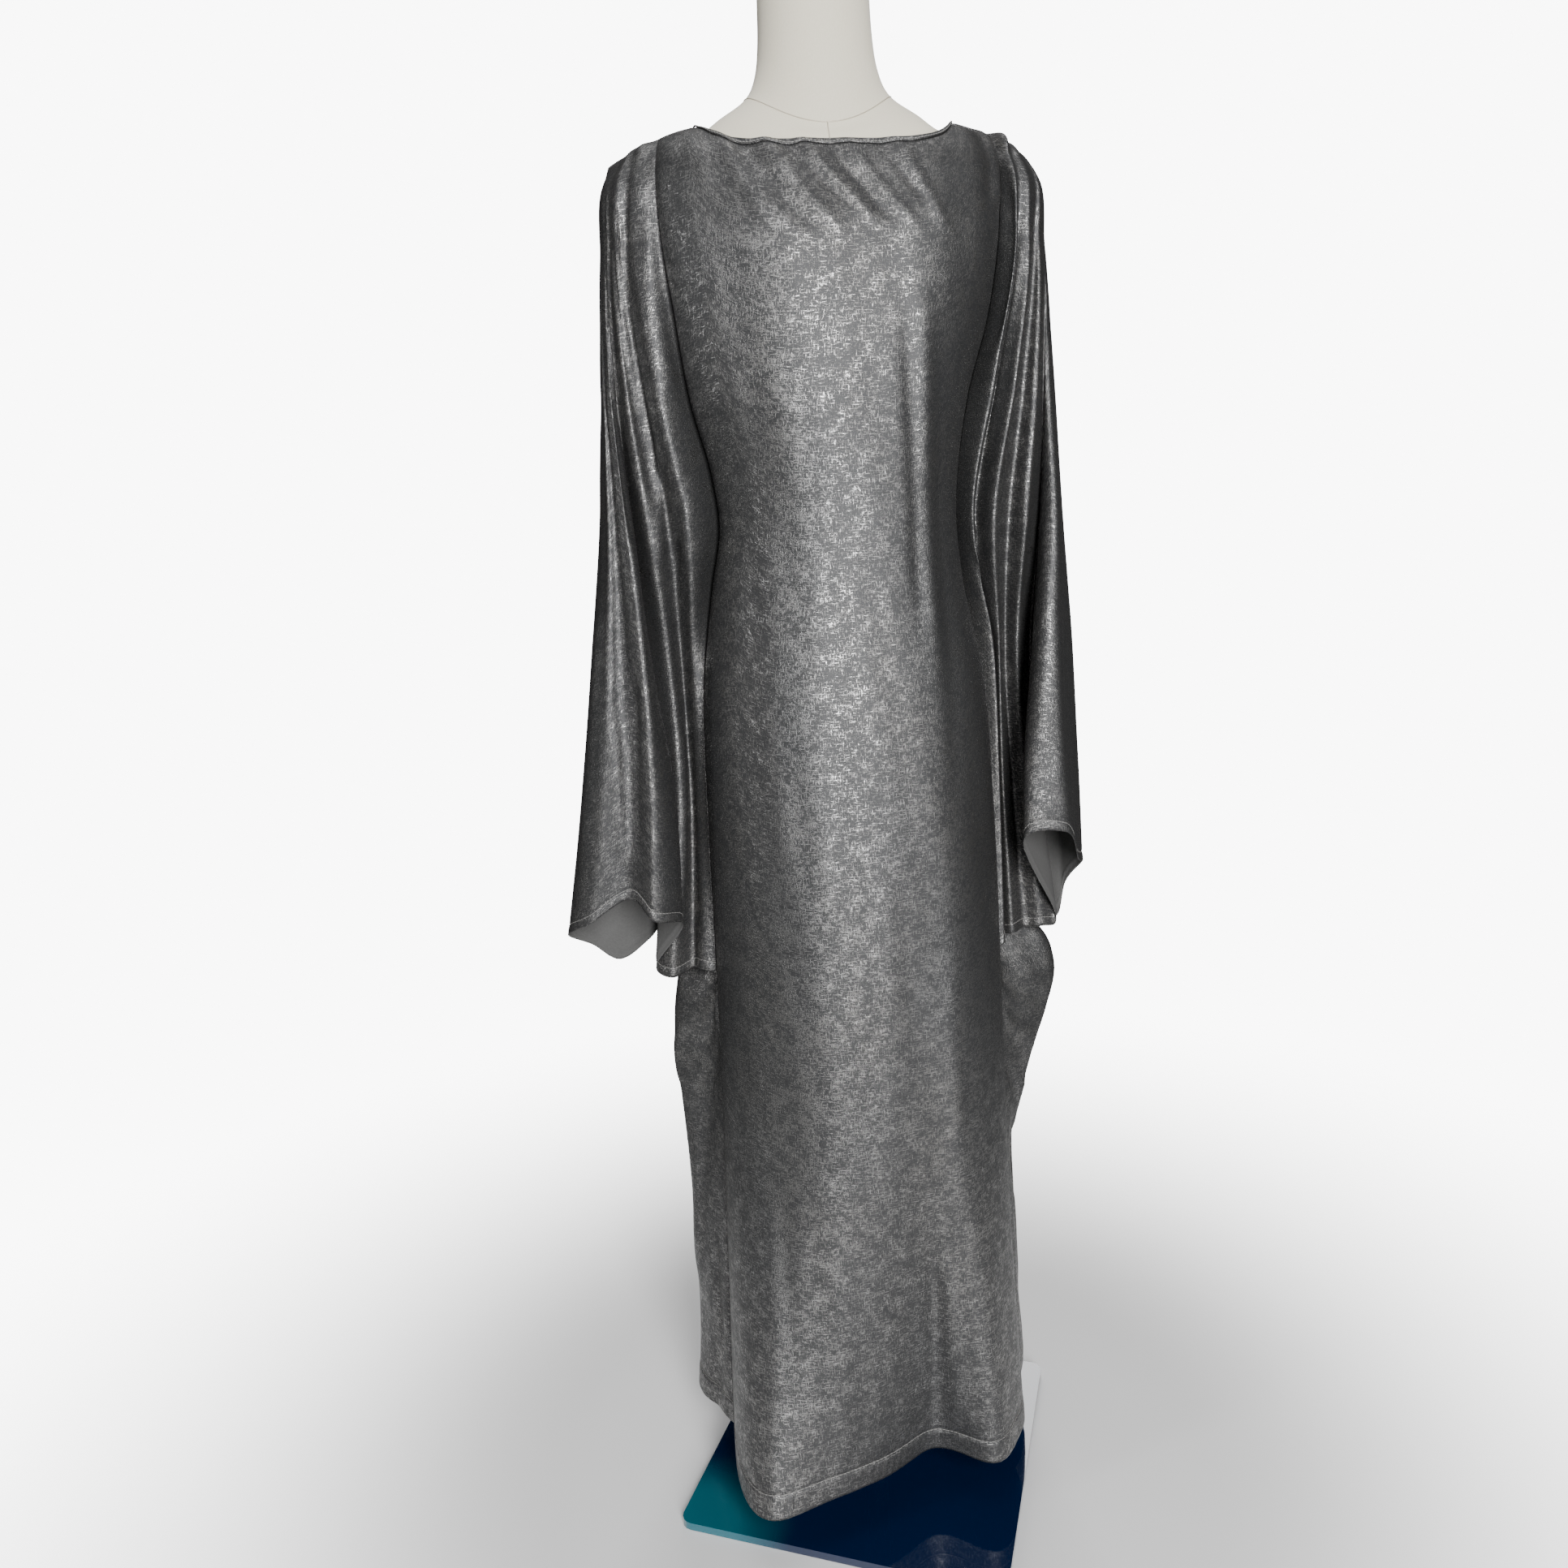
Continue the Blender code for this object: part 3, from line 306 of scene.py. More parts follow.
def fold_rise(folds, place, heights):
    """How far the folds lift the cloth: a soft bump across each fold, growing down its length."""
    rise = np.zeros_like(heights)
    for top, hem, width, *sizes in folds:
        size = np.interp(-heights, [-z for z in FOLD_HEIGHTS], sizes)
        size = size * np.clip((SHOULDER_Z - heights) / FOLDS_START_OVER, 0, 1)
        middle = hem + (top - hem) * (heights - HEM_Z) / (SHOULDER_Z - HEM_Z)
        rise += size * np.exp(-(((place - middle) / width) ** 2))
    return rise


def neckline_z(x, low_z):
    """Height of a panel's upper edge: the shoulder seam, and the boat neck between its ends."""
    reach = np.abs(x) / SHOULDER_END_X
    neck = low_z + (SHOULDER_END_Z - low_z) * reach**NECK_CORNER
    seam = SHOULDER_END_Z + (SHOULDER_Z - SHOULDER_END_Z) * (np.abs(x) - SHOULDER_END_X) / (
        SEAM_X - SHOULDER_END_X
    )
    return np.where(reach < 1, neck, seam)


def above_seam(x):
    """How far the neckline's ends stand above the outer end of the shoulder seam, fading out to it."""
    share = (SEAM_X - np.abs(x)) / (SEAM_X - SHOULDER_END_X)
    return (SHOULDER_END_Z - SHOULDER_Z) * np.clip(share, 0, 1)


def panel_places(side_columns=15, middle_columns=141):
    """Columns of a panel, from -1 to 1, with one on each end of the neckline."""
    end = math.asin(SHOULDER_END_X / SEAM_X) / (math.pi / 2)
    side = np.linspace(end, 1, side_columns)
    return np.concatenate([-side[::-1], np.linspace(-end, end, middle_columns)[1:-1], side])


def row_heights(tops, rows=SEAM_ROWS):
    """Heights of every row, from each column's own top to the hem, as the rows at the seam fall."""
    share = (SEAM_ROWS[0] - np.array(rows)) / (SEAM_ROWS[0] - HEM_Z)
    return tops[None, :] + share[:, None] * (HEM_Z - tops)[None, :]


def front_points(rows=SEAM_ROWS):
    """The front: an arc between the seams at each height, squarer at the hem, lifted by its folds."""
    place = panel_places()
    angle = place * math.pi / 2
    across = SEAM_X * np.sin(angle)
    top = neckline_z(across, FRONT_NECK_Z)
    z = row_heights(top, rows)
    level = row_heights(top - above_seam(across), rows)
    sizes = np.moveaxis(by_height(FRONT_SECTIONS, level), -1, 0)
    left, right, deep_left, deep_right, deep, power = sizes
    share = (1 + np.sin(angle)) / 2
    x = left + (right - left) * share
    edge = deep_left + (deep_right - deep_left) * share
    arc = np.clip(np.cos(angle), 0, 1) ** power
    lift = fold_rise(FRONT_FOLDS, place, z)
    y = edge + (deep - edge - lift) * arc
    return np.stack([x + lift * np.sin(angle) * SIDEWAYS_SHARE, y, z], -1)


def back_points(rows=SEAM_ROWS):
    """The back: a flatter arc between the seams at each height, lifted by its folds."""
    place = panel_places()
    angle = place * math.pi / 2
    across = SEAM_X * np.sin(angle)
    top = neckline_z(across, BACK_NECK_Z)
    z = row_heights(top, rows)
    level = row_heights(top - above_seam(across), rows)
    half, edge, deep = np.moveaxis(by_height(BACK_SECTIONS, level), -1, 0)
    lift = fold_rise(BACK_FOLDS, place, z)
    x = half * np.sin(angle)
    y = edge + (deep - edge) * np.cos(angle) ** BACK_FULLNESS + lift * np.cos(angle)
    return np.stack([x, y, z], -1)


def wing_lines(folds, side):
    """Every fold line of a wing at its own heights, in order from the front seam to the back seam."""
    rows = fine_rows([z for z in SEAM_ROWS if z >= WING_BOTTOM_Z])
    share = (SHOULDER_Z - np.array(rows)) / (SHOULDER_Z - WING_BOTTOM_Z)
    seam = 0 if side < 0 else -1
    lines = [front_points(rows)[:, seam]]
    for _, top_x, *middle, bottom in folds:
        first_depth = middle[0][1]
        top_z = shoulder_z(top_x)
        table = [(top_z, top_x, HALF_SHOULDER_GAP * np.sign(first_depth))]
        table.append((top_z - FIRST_DROP, top_x + FIRST_OUT, first_depth * FIRST_SHARE))
        table += [(z, x, y) for z, (x, y) in zip(WING_HEIGHTS, middle)]
        table.append((bottom[2], bottom[0], bottom[1]))
        z = table[0][0] + share * (table[-1][0] - table[0][0])
        x, y = by_height(table, z).T
        lines.append(np.stack([side * x, -y, z], -1))
    lines.append(back_points(rows)[:, seam])
    return np.stack(lines, 1)


def shoulder_z(x):
    """Height of the shoulder line out from the seam to the tip: it rounds down like an arc."""
    out = (x - SEAM_X) / TIP_REACH
    return SHOULDER_Z - TIP_DROP * out**TIP_CURVE


def wing_points(folds, side, per_fold=3):
    """A wing's cloth through its fold lines, and the column of its outer edge."""
    lines = wing_lines(folds, side)
    columns = np.linspace(0, len(folds) + 1, (len(folds) + 1) * per_fold + 1)
    points = np.stack([smooth(np.arange(len(row)), row, columns) for row in lines])
    outer = 1 + [kind for kind, *_ in folds].index("outer")
    return points, outer * per_fold


def cascade_points(table, side, per_fold=4):
    """The side of the skirt: across each height a curve from the front seam to the back seam.

    Its upper rows are tucked up inside the wing, and the rest share their ends with the panels.
    """
    tucked = [row[0] for row in table[:TUCKED_ROWS]]
    below = [CASCADE_SEAM_Z] + [z for z in SEAM_ROWS if z < WING_BOTTOM_Z]
    heights = np.concatenate([np.linspace(tucked[0], CASCADE_SEAM_Z, TUCKED_FINE, endpoint=False), fine_rows(below)])
    flat = [(row[0], *np.ravel(row[1:])) for row in table]
    inner = by_height(flat, heights).reshape(len(heights), -1, 2)
    lines = np.concatenate([inner * (side, -1), np.repeat(heights, inner.shape[1]).reshape(
        len(heights), -1, 1)], -1)
    seam = 0 if side < 0 else -1
    sewn = heights[TUCKED_FINE:]
    lines[TUCKED_FINE:, 0] = front_points(sewn)[:, seam]
    lines[TUCKED_FINE:, -1] = back_points(sewn)[:, seam]
    columns = np.linspace(0, lines.shape[1] - 1, (lines.shape[1] - 1) * per_fold + 1)
    return np.stack([smooth(np.arange(lines.shape[1]), row, columns) for row in lines])


# How many fine rows stand between two rows at the seams, and how many in the last one.
FINE = 9
FINE_LAST = 24
FORM_FINE = 7
SHELL = 0.0007
LIES_OFF_FORM = 0.0022
SOFT_CONTACT = 0.0015
SHOULDER_CLEAR_Z = 1.374
SHOULDER_FADE = 0.020

# Soft creases of the front: lines in (sideways, height), bowed to one side.
# columns: sideways and height at the top, sideways and height at the bottom, bow, half width, rise
FRONT_CREASES = (
    (-0.105, 1.378, -0.060, 1.268, -0.004, 0.0085, 0.0022),
    (-0.092, 1.372, -0.022, 1.262, -0.006, 0.0090, -0.0024),
    (-0.070, 1.366, 0.006, 1.258, -0.006, 0.0080, 0.0021),
    (-0.052, 1.362, 0.022, 1.276, -0.004, 0.0070, -0.0018),
    (-0.036, 1.360, 0.040, 1.262, -0.005, 0.0075, 0.0022),
    (-0.012, 1.356, 0.052, 1.268, -0.004, 0.0065, -0.0017),
    (0.008, 1.356, 0.072, 1.262, -0.005, 0.0070, 0.0019),
    (0.034, 1.358, 0.086, 1.280, -0.003, 0.0065, -0.0015),
    (0.052, 1.360, 0.098, 1.262, -0.003, 0.0070, 0.0016),
    (-0.128, 1.380, -0.112, 1.300, 0.002, 0.0080, 0.0018),
    (0.150, 1.384, 0.150, 1.290, 0.010, 0.0085, 0.0030),
    (0.135, 1.380, 0.138, 1.290, 0.008, 0.0070, -0.0022),
    (0.066, 1.240, 0.078, 0.860, 0.003, 0.0100, 0.0022),
    (0.052, 1.230, 0.062, 0.900, 0.003, 0.0080, -0.0018),
    (0.086, 1.150, 0.094, 0.700, 0.002, 0.0110, -0.0016),
    (-0.070, 1.120, -0.082, 0.640, -0.003, 0.0130, 0.0016),
    (-0.020, 0.980, -0.026, 0.520, 0.002, 0.0130, -0.0013),
    (0.018, 0.760, 0.012, 0.360, 0.002, 0.0150, 0.0014),
    (0.076, 0.640, 0.082, 0.300, 0.002, 0.0120, 0.0018),
    (0.050, 0.340, 0.052, 0.062, 0.001, 0.0090, -0.0030),
    (0.066, 0.300, 0.072, 0.070, 0.001, 0.0090, 0.0024),
    (-0.050, 0.330, -0.056, 0.075, 0.002, 0.0130, 0.0018),
    (-0.095, 0.420, -0.104, 0.120, -0.002, 0.0120, -0.0018),
    (-0.072, 0.347, 0.010, 0.343, 0.001, 0.0020, 0.0008),
)
BACK_CREASES = (
    (-0.100, 1.380, -0.060, 1.240, -0.005, 0.0090, 0.0022),
    (-0.060, 1.372, -0.030, 1.220, -0.004, 0.0080, -0.0018),
    (-0.020, 1.368, 0.004, 1.200, -0.003, 0.0090, 0.0018),
    (0.030, 1.370, 0.030, 1.230, 0.003, 0.0080, -0.0018),
    (0.070, 1.376, 0.055, 1.220, 0.004, 0.0090, 0.0022),
    (0.110, 1.384, 0.100, 1.260, 0.004, 0.0080, 0.0020),
    (-0.110, 1.180, -0.118, 0.620, -0.003, 0.0110, 0.0030),
    (-0.075, 1.060, -0.082, 0.380, 0.004, 0.0120, -0.0028),
    (-0.030, 1.150, -0.044, 0.300, -0.004, 0.0110, 0.0032),
    (0.012, 0.980, 0.006, 0.160, 0.003, 0.0120, -0.0028),
    (0.050, 1.120, 0.058, 0.420, 0.003, 0.0110, 0.0030),
    (0.088, 0.940, 0.098, 0.200, -0.003, 0.0110, -0.0026),
    (0.124, 1.140, 0.134, 0.560, 0.003, 0.0100, 0.0030),
    (-0.134, 0.760, -0.146, 0.150, -0.003, 0.0110, 0.0026),
    (0.030, 0.560, 0.034, 0.090, 0.003, 0.0120, 0.0024),
    (-0.060, 0.480, -0.070, 0.080, -0.003, 0.0120, 0.0026),
)
# Creases of a wing: lines in (fold line, height). Fold lines are counted from the front seam.
# columns: fold line and height at the top, at the bottom, bow, half width (both in lines), rise
LEFT_CREASES = (
    (0.30, 1.330, 0.50, 1.120, 0.20, 0.30, 0.0030),
    (1.60, 1.360, 2.20, 1.150, 0.15, 0.25, -0.0022),
    (2.60, 1.330, 1.60, 1.060, -0.20, 0.28, 0.0026),
    (3.40, 1.300, 2.40, 1.020, -0.20, 0.25, -0.0022),
    (4.50, 1.340, 4.20, 1.080, 0.10, 0.25, 0.0018),
    (5.60, 1.280, 5.40, 0.960, 0.15, 0.25, -0.0018),
    (1.50, 1.120, 2.60, 0.980, 0.25, 0.25, 0.0030),
    (0.70, 1.080, 2.00, 0.960, 0.20, 0.22, -0.0026),
    (5.50, 1.060, 5.90, 0.800, 0.10, 0.25, 0.0022),
    (6.60, 1.200, 6.50, 0.860, 0.10, 0.22, 0.0018),
    (7.50, 1.160, 7.60, 0.760, 0.15, 0.24, 0.0024),
    (6.50, 0.900, 6.80, 0.700, 0.10, 0.25, -0.0030),
    (7.40, 0.860, 7.10, 0.690, 0.10, 0.22, 0.0034),
    (8.40, 0.980, 8.50, 0.680, 0.10, 0.24, 0.0026),
    (2.40, 0.860, 2.60, 0.620, 0.10, 0.24, 0.0024),
    (1.60, 0.820, 1.40, 0.600, 0.10, 0.24, -0.0022),
    (9.60, 1.260, 9.40, 0.820, 0.10, 0.26, 0.0030),
    (10.60, 1.160, 10.40, 0.760, -0.10, 0.26, -0.0026),
    (11.50, 1.280, 11.60, 0.860, 0.10, 0.26, 0.0028),
    (12.60, 1.200, 12.40, 0.780, 0.10, 0.26, 0.0026),
    (9.50, 0.860, 9.70, 0.620, 0.10, 0.24, -0.0026),
    (11.40, 0.820, 11.20, 0.620, 0.10, 0.24, 0.0026),
)
RIGHT_CREASES = (
    (0.40, 1.340, 0.60, 1.160, 0.15, 0.28, -0.0024),
    (1.60, 1.350, 1.40, 1.120, 0.15, 0.26, 0.0022),
    (2.50, 1.300, 2.30, 1.060, -0.15, 0.25, 0.0026),
    (3.60, 1.320, 3.40, 1.040, 0.12, 0.25, -0.0022),
    (4.60, 1.300, 4.50, 0.980, 0.12, 0.25, 0.0026),
    (5.60, 1.240, 5.40, 0.900, -0.12, 0.24, -0.0022),
    (6.50, 1.280, 6.60, 0.940, 0.10, 0.24, 0.0022),
    (1.50, 1.040, 2.60, 0.900, 0.20, 0.26, 0.0026),
    (0.60, 1.000, 1.80, 0.860, 0.20, 0.24, -0.0024),
    (7.50, 1.000, 7.40, 0.780, 0.10, 0.26, 0.0026),
    (8.50, 1.100, 8.60, 0.720, 0.10, 0.24, -0.0022),
    (3.50, 0.840, 3.60, 0.640, 0.10, 0.26, 0.0026),
    (5.50, 0.820, 5.40, 0.640, 0.10, 0.26, 0.0022),
    (10.60, 1.260, 10.40, 0.840, 0.10, 0.26, 0.0030),
    (11.50, 1.160, 11.40, 0.760, -0.10, 0.26, -0.0026),
    (12.50, 1.280, 12.60, 0.860, 0.10, 0.26, 0.0028),
    (13.60, 1.200, 13.40, 0.760, 0.10, 0.26, 0.0026),
    (12.40, 0.800, 12.20, 0.620, 0.10, 0.24, -0.0026),
)
# Creases of a cascade: lines in (fold line, height), from the front seam to the back seam.
CASCADE_CREASES = {
    "left": (
        (0.40, 0.540, 1.60, 0.455, 0.10, 0.14, -0.0030),
        (0.50, 0.430, 1.70, 0.470, 0.10, 0.12, 0.0030),
        (1.60, 0.520, 2.30, 0.420, 0.10, 0.16, 0.0030),
        (1.50, 0.400, 1.70, 0.200, 0.08, 0.20, 0.0024),
        (2.50, 0.420, 2.60, 0.180, 0.08, 0.20, -0.0026),
        (3.40, 0.500, 3.30, 0.220, 0.08, 0.20, 0.0026),
        (0.60, 0.300, 0.70, 0.110, 0.08, 0.18, -0.0020),
    ),
    "right": (
        (0.40, 0.545, 1.70, 0.500, 0.10, 0.16, -0.0030),
        (0.60, 0.500, 1.90, 0.440, 0.10, 0.14, 0.0032),
        (0.50, 0.440, 1.80, 0.370, 0.10, 0.14, -0.0030),
        (1.60, 0.420, 2.40, 0.330, 0.10, 0.16, 0.0030),
        (1.50, 0.300, 1.70, 0.140, 0.08, 0.20, 0.0024),
        (2.50, 0.400, 2.60, 0.180, 0.08, 0.20, -0.0026),
        (3.40, 0.480, 3.30, 0.220, 0.08, 0.20, 0.0026),
    ),
}


def fine_rows(rows):
    """More heights between the ones of a table: evenly between neighbours, densest above the last."""
    steps = [np.linspace(a, b, FINE, endpoint=False) for a, b in zip(rows[:-2], rows[1:-1])]
    steps.append(np.linspace(rows[-2], rows[-1], FINE_LAST + 1))
    return np.concatenate(steps)


def normals_of(points, flip):
    """Unit normals of a grid of points: the cross product of the ways down and across."""
    across = np.gradient(points, axis=1)
    down = np.gradient(points, axis=0)
    normal = np.cross(down, across)
    normal /= np.linalg.norm(normal, axis=-1, keepdims=True) + 1e-12
    return -normal if flip else normal


def crease_rise(table, across, height):
    """Sum of soft ridges: a bell across each line, faded at both of its ends.

    The distance from a line is measured across it, less a bow that is widest at its middle.
    """
    rise = np.zeros(np.broadcast(across, height).shape)
    for top_x, top_z, low_x, low_z, bow, width, size in table:
        along = np.clip((top_z - height) / (top_z - low_z + 1e-9), -1, 2)
        if abs(top_z - low_z) < 0.01:
            along = (across - top_x) / (low_x - top_x)
            off = height - (top_z + (low_z - top_z) * along)
        else:
            off = across - (top_x + (low_x - top_x) * along) - bow * 4 * along * (1 - along)
        fade = np.clip(along / 0.25, 0, 1) * np.clip((1 - along) / 0.25, 0, 1)
        fade = fade * fade * (3 - 2 * fade)
        rise += size * fade * np.exp(-((off / width) ** 2))
    return rise


def form_ring(row, angle):
    """Points of one ring of the form: two half ellipses that meet at its sides."""
    half, front, back, side_z, front_z, back_z = row
    sine = np.sin(angle)
    depth = np.where(sine < 0, front, back)
    end_z = np.where(sine < 0, front_z, back_z)
    z = side_z + (end_z - side_z) * sine**2
    return np.stack([half * np.cos(angle), depth * sine, z], -1)


def form_points(sides, fine=FORM_FINE):
    """The form's surface: its rings carried through a cubic from the neck down."""
    angle = np.arange(sides + 1) * 2 * math.pi / sides
    rings = np.stack([form_ring(row, angle) for row in FORM_RINGS])
    steps = np.linspace(0, len(rings) - 1, (len(rings) - 1) * fine + 1)
    flat = smooth(np.arange(len(rings)), rings.reshape(len(rings), -1), steps)
    return flat.reshape(len(steps), sides + 1, 3)


def form_radius_table():
    """Radius of the form by direction and height, on a regular grid for looking up."""
    directions = np.linspace(-math.pi, math.pi, 181)
    heights = np.linspace(1.53, FORM_BOTTOM_Z, 420)
    rings = []
    for half, front, back, side_z, front_z, back_z in FORM_RINGS:
        depth = np.where(np.sin(directions) < 0, front, back)
        turn = np.arctan2(np.sin(directions) / depth, np.cos(directions) / half)
        sine = np.sin(turn) ** 2
        end_z = np.where(np.sin(directions) < 0, front_z, back_z)
        radius = 1 / np.hypot(np.cos(directions) / half, np.sin(directions) / depth)
        rings.append(np.stack([side_z + (end_z - side_z) * sine, radius]))
    rings = np.array(rings)
    table = [np.interp(-heights, -rings[:, 0, k], rings[:, 1, k]) for k in range(len(directions))]
    return directions, heights, np.array(table).T


FORM_TABLE = form_radius_table()


def form_distance(points):
    """Distance outside the form: how far the radius passes the form's, over the slope's length."""
    directions, heights, table = FORM_TABLE
    radius = np.hypot(points[..., 0], points[..., 1])
    way = np.arctan2(points[..., 1], points[..., 0])
    column = (way + math.pi) / (2 * math.pi) * (len(directions) - 1)
    row = (heights[0] - points[..., 2]) / (heights[0] - heights[-1]) * (len(heights) - 1)
    row = np.clip(row, 0, len(heights) - 1.001)
    column = np.clip(column, 0, len(directions) - 1.001)
    r0, c0 = row.astype(int), column.astype(int)
    fr, fc = row - r0, column - c0
    low = table[r0, c0] * (1 - fc) + table[r0, c0 + 1] * fc
    high = table[r0 + 1, c0] * (1 - fc) + table[r0 + 1, c0 + 1] * fc
    surface = low * (1 - fr) + high * fr
    slope_z = (low - high) / ((heights[0] - heights[-1]) / (len(heights) - 1))
    turn = 2 * math.pi / (len(directions) - 1)
    slope_way = (table[r0, c0 + 1] - table[r0, c0]) / turn / np.maximum(radius, 0.01)
    out = np.stack([np.cos(way) + slope_way * np.sin(way), np.sin(way) - slope_way * np.cos(way),
                    -slope_z], -1)
    length = np.linalg.norm(out, axis=-1)
    return (radius - surface) / length, out / length[..., None]


def rest_on_form(points, times=3):
    """Cloth too near the form is moved out along its slope, softly, until it lies on it."""
    points = points.copy()
    for _ in range(times):
        gap, out = form_distance(points)
        want = LIES_OFF_FORM + SOFT_CONTACT * np.logaddexp(0, (gap - LIES_OFF_FORM) / SOFT_CONTACT)
        near = (points[..., 2] > FORM_BOTTOM_Z) & (gap > -0.05)
        fade = np.clip((SHOULDER_CLEAR_Z - points[..., 2]) / SHOULDER_FADE, 0, 1)
        move = np.where(near, want - gap, 0.0) * fade
        points += out * move[..., None]
    return points


def lengths(points, axis):
    """Distance walked along one way of a grid, from its first row or column."""
    step = np.linalg.norm(np.diff(points, axis=axis), axis=-1)
    start = np.zeros_like(np.take(points[..., 0], [0], axis=axis))
    return np.concatenate([start, np.cumsum(step, axis=axis)], axis=axis)


def grid_mesh(name, points, flip=False, closed=False, flat_map=None):
    """Quads between neighbouring rows and columns, with a map in metres of flat cloth."""
    rows, columns = points.shape[:2]
    index = np.arange(rows * columns).reshape(rows, columns)
    if closed:
        index = np.concatenate([index, index[:, :1]], axis=1)
    quads = np.stack([index[:-1, :-1], index[1:, :-1], index[1:, 1:], index[:-1, 1:]], -1)
    quads = quads.reshape(-1, 4)
    if flip:
        quads = quads[:, ::-1]
    mesh = bpy.data.meshes.new(name)
    mesh.from_pydata(points.reshape(-1, 3).tolist(), [], quads.tolist())
    mesh.shade_smooth()
    if flat_map is not None:
        layer = mesh.uv_layers.new(name="flat")
        layer.data.foreach_set("uv", flat_map.reshape(-1, 2)[quads.ravel()].astype(np.float32).ravel())
    return mesh


def add_piece(name, mesh, *materials):
    made = bpy.data.objects.new(name, mesh)
    bpy.context.scene.collection.objects.link(made)
    for material in materials:
        mesh.materials.append(material)
    return made


def flat_of(points, straight):
    """Where each point lies on the flat cloth, in metres.

    The way across is walked from the straight column, and the way down is the mean of all columns,
    so the weave's threads run level and don't swirl.
    """
    across = lengths(points, 1)
    across = across - across[:, straight, None]
    down = np.broadcast_to(lengths(points, 0).mean(1, keepdims=True), across.shape)
    return np.stack([across, -down], -1)


def add_cloth_piece(name, points, flip, straight):
    flat_map = flat_of(points, straight)
    made = add_piece(name, grid_mesh(name, points, flip, flat_map=flat_map), FOIL, WRONG_SIDE)
    shell = made.modifiers.new("shell", "SOLIDIFY")
    shell.thickness = SHELL
    shell.offset = -1.0
    shell.material_offset = 1
    shell.material_offset_rim = 0
    return made


def hem_rise(from_edge, depth, puckers):
    """A turned hem: its cloth stands a little proud below the stitching, which lies in a groove."""
    proud = 0.0006 / (1 + np.exp((from_edge - depth) / 0.0012))
    groove = 0.0009 * np.exp(-(((from_edge - depth) / 0.0016) ** 2))
    within = np.exp(-(((from_edge - depth * 0.55) / (depth * 0.6)) ** 2))
    return proud - groove + puckers * within


def tube_points(path, radius, around=6):
    """A thread: a ring of points round a path, in the plane across its way."""
    way = np.gradient(path, axis=0)
    way /= np.linalg.norm(way, axis=1, keepdims=True)
    side = np.cross(way, [0.31, 0.42, 0.85])
    side /= np.linalg.norm(side, axis=1, keepdims=True)
    up = np.cross(way, side)
    angle = np.arange(around) * 2 * math.pi / around
    ring = side[:, None] * np.cos(angle)[None, :, None] + up[:, None] * np.sin(angle)[None, :, None]
    return path[:, None] + ring * np.broadcast_to(radius, len(path))[:, None, None]


def stitches(name, path, normal, pitch, radius, material, per_stitch=6):
    """Running stitches: a thread that swells out of the cloth and dips into it at every pitch."""
    walked = lengths(path[None], 1)[0]
    count = max(4, int(walked[-1] / pitch))
    at = np.linspace(0, walked[-1], count * per_stitch + 1)
    place = np.stack([np.interp(at, walked, path[:, k]) for k in range(3)], -1)
    out = np.stack([np.interp(at, walked, normal[:, k]) for k in range(3)], -1)
    phase = np.sin(math.pi * (np.arange(len(at)) % per_stitch) / per_stitch)
    place = place + out * (phase * radius * 1.1 - radius * 0.7)[:, None]
    tube = tube_points(place, radius * (0.45 + 0.55 * phase))
    return add_piece(name, grid_mesh(name, tube, closed=True), material)


def edge_offset(points, distance, normals, out):
    """A line that runs at a distance up from the lower edge of a sheet, lifted off it."""
    walked = lengths(points[::-1], 0)
    below = np.clip((walked < distance).sum(0) - 1, 0, len(points) - 2)
    columns = np.arange(points.shape[1])
    low, high = walked[below, columns], walked[below + 1, columns]
    part = ((distance - low) / (high - low))[:, None]
    turned, lifted = points[::-1], normals[::-1]
    place = turned[below, columns] * (1 - part) + turned[below + 1, columns] * part
    normal = lifted[below, columns]
    return place + normal * out, normal


def random_waves(seed, along, count, low, high, size):
    """Uneven waves: a seeded sum of sines of different lengths."""
    rng = np.random.default_rng(seed)
    total = np.zeros_like(along)
    for _ in range(count):
        length = rng.uniform(low, high)
        total += np.sin(2 * math.pi * along / length + rng.uniform(0, 6.28)) * rng.uniform(0.4, 1)
    return total * size / count


def shader_nodes(material):
    tree = material.node_tree
    return tree, tree.nodes, tree.links


def new_material(name, roughness, metallic):
    made = bpy.data.materials.new(name)
    made.use_nodes = True
    shader = made.node_tree.nodes["Principled BSDF"]
    shader.inputs["Roughness"].default_value = roughness
    shader.inputs["Metallic"].default_value = metallic
    return made, shader


def add_node(tree, kind, **settings):
    node = tree.nodes.new(kind)
    for key, value in settings.items():
        setattr(node, key, value)
    return node


def noise(tree, vector, scale, detail=2.0, roughness=0.5):
    node = add_node(tree, "ShaderNodeTexNoise")
    node.inputs["Scale"].default_value = scale
    node.inputs["Detail"].default_value = detail
    node.inputs["Roughness"].default_value = roughness
    tree.links.new(vector, node.inputs["Vector"])
    return node.outputs["Fac"]


def stretch(tree, vector, factors):
    node = add_node(tree, "ShaderNodeMapping", vector_type="POINT")
    node.inputs["Scale"].default_value = factors
    tree.links.new(vector, node.inputs["Vector"])
    return node.outputs["Vector"]


def maths(tree, operation, *values):
    node = add_node(tree, "ShaderNodeMath", operation=operation)
    for k, value in enumerate(values):
        if isinstance(value, (int, float)):
            node.inputs[k].default_value = value
        else:
            tree.links.new(value, node.inputs[k])
    return node.outputs[0]


def between(tree, value, low, high):
    """0 below the low value and 1 above the high one, smoothly between."""
    node = add_node(tree, "ShaderNodeMapRange", interpolation_type="SMOOTHSTEP")
    tree.links.new(value, node.inputs["Value"])
    node.inputs["From Min"].default_value = low
    node.inputs["From Max"].default_value = high
    return node.outputs["Result"]


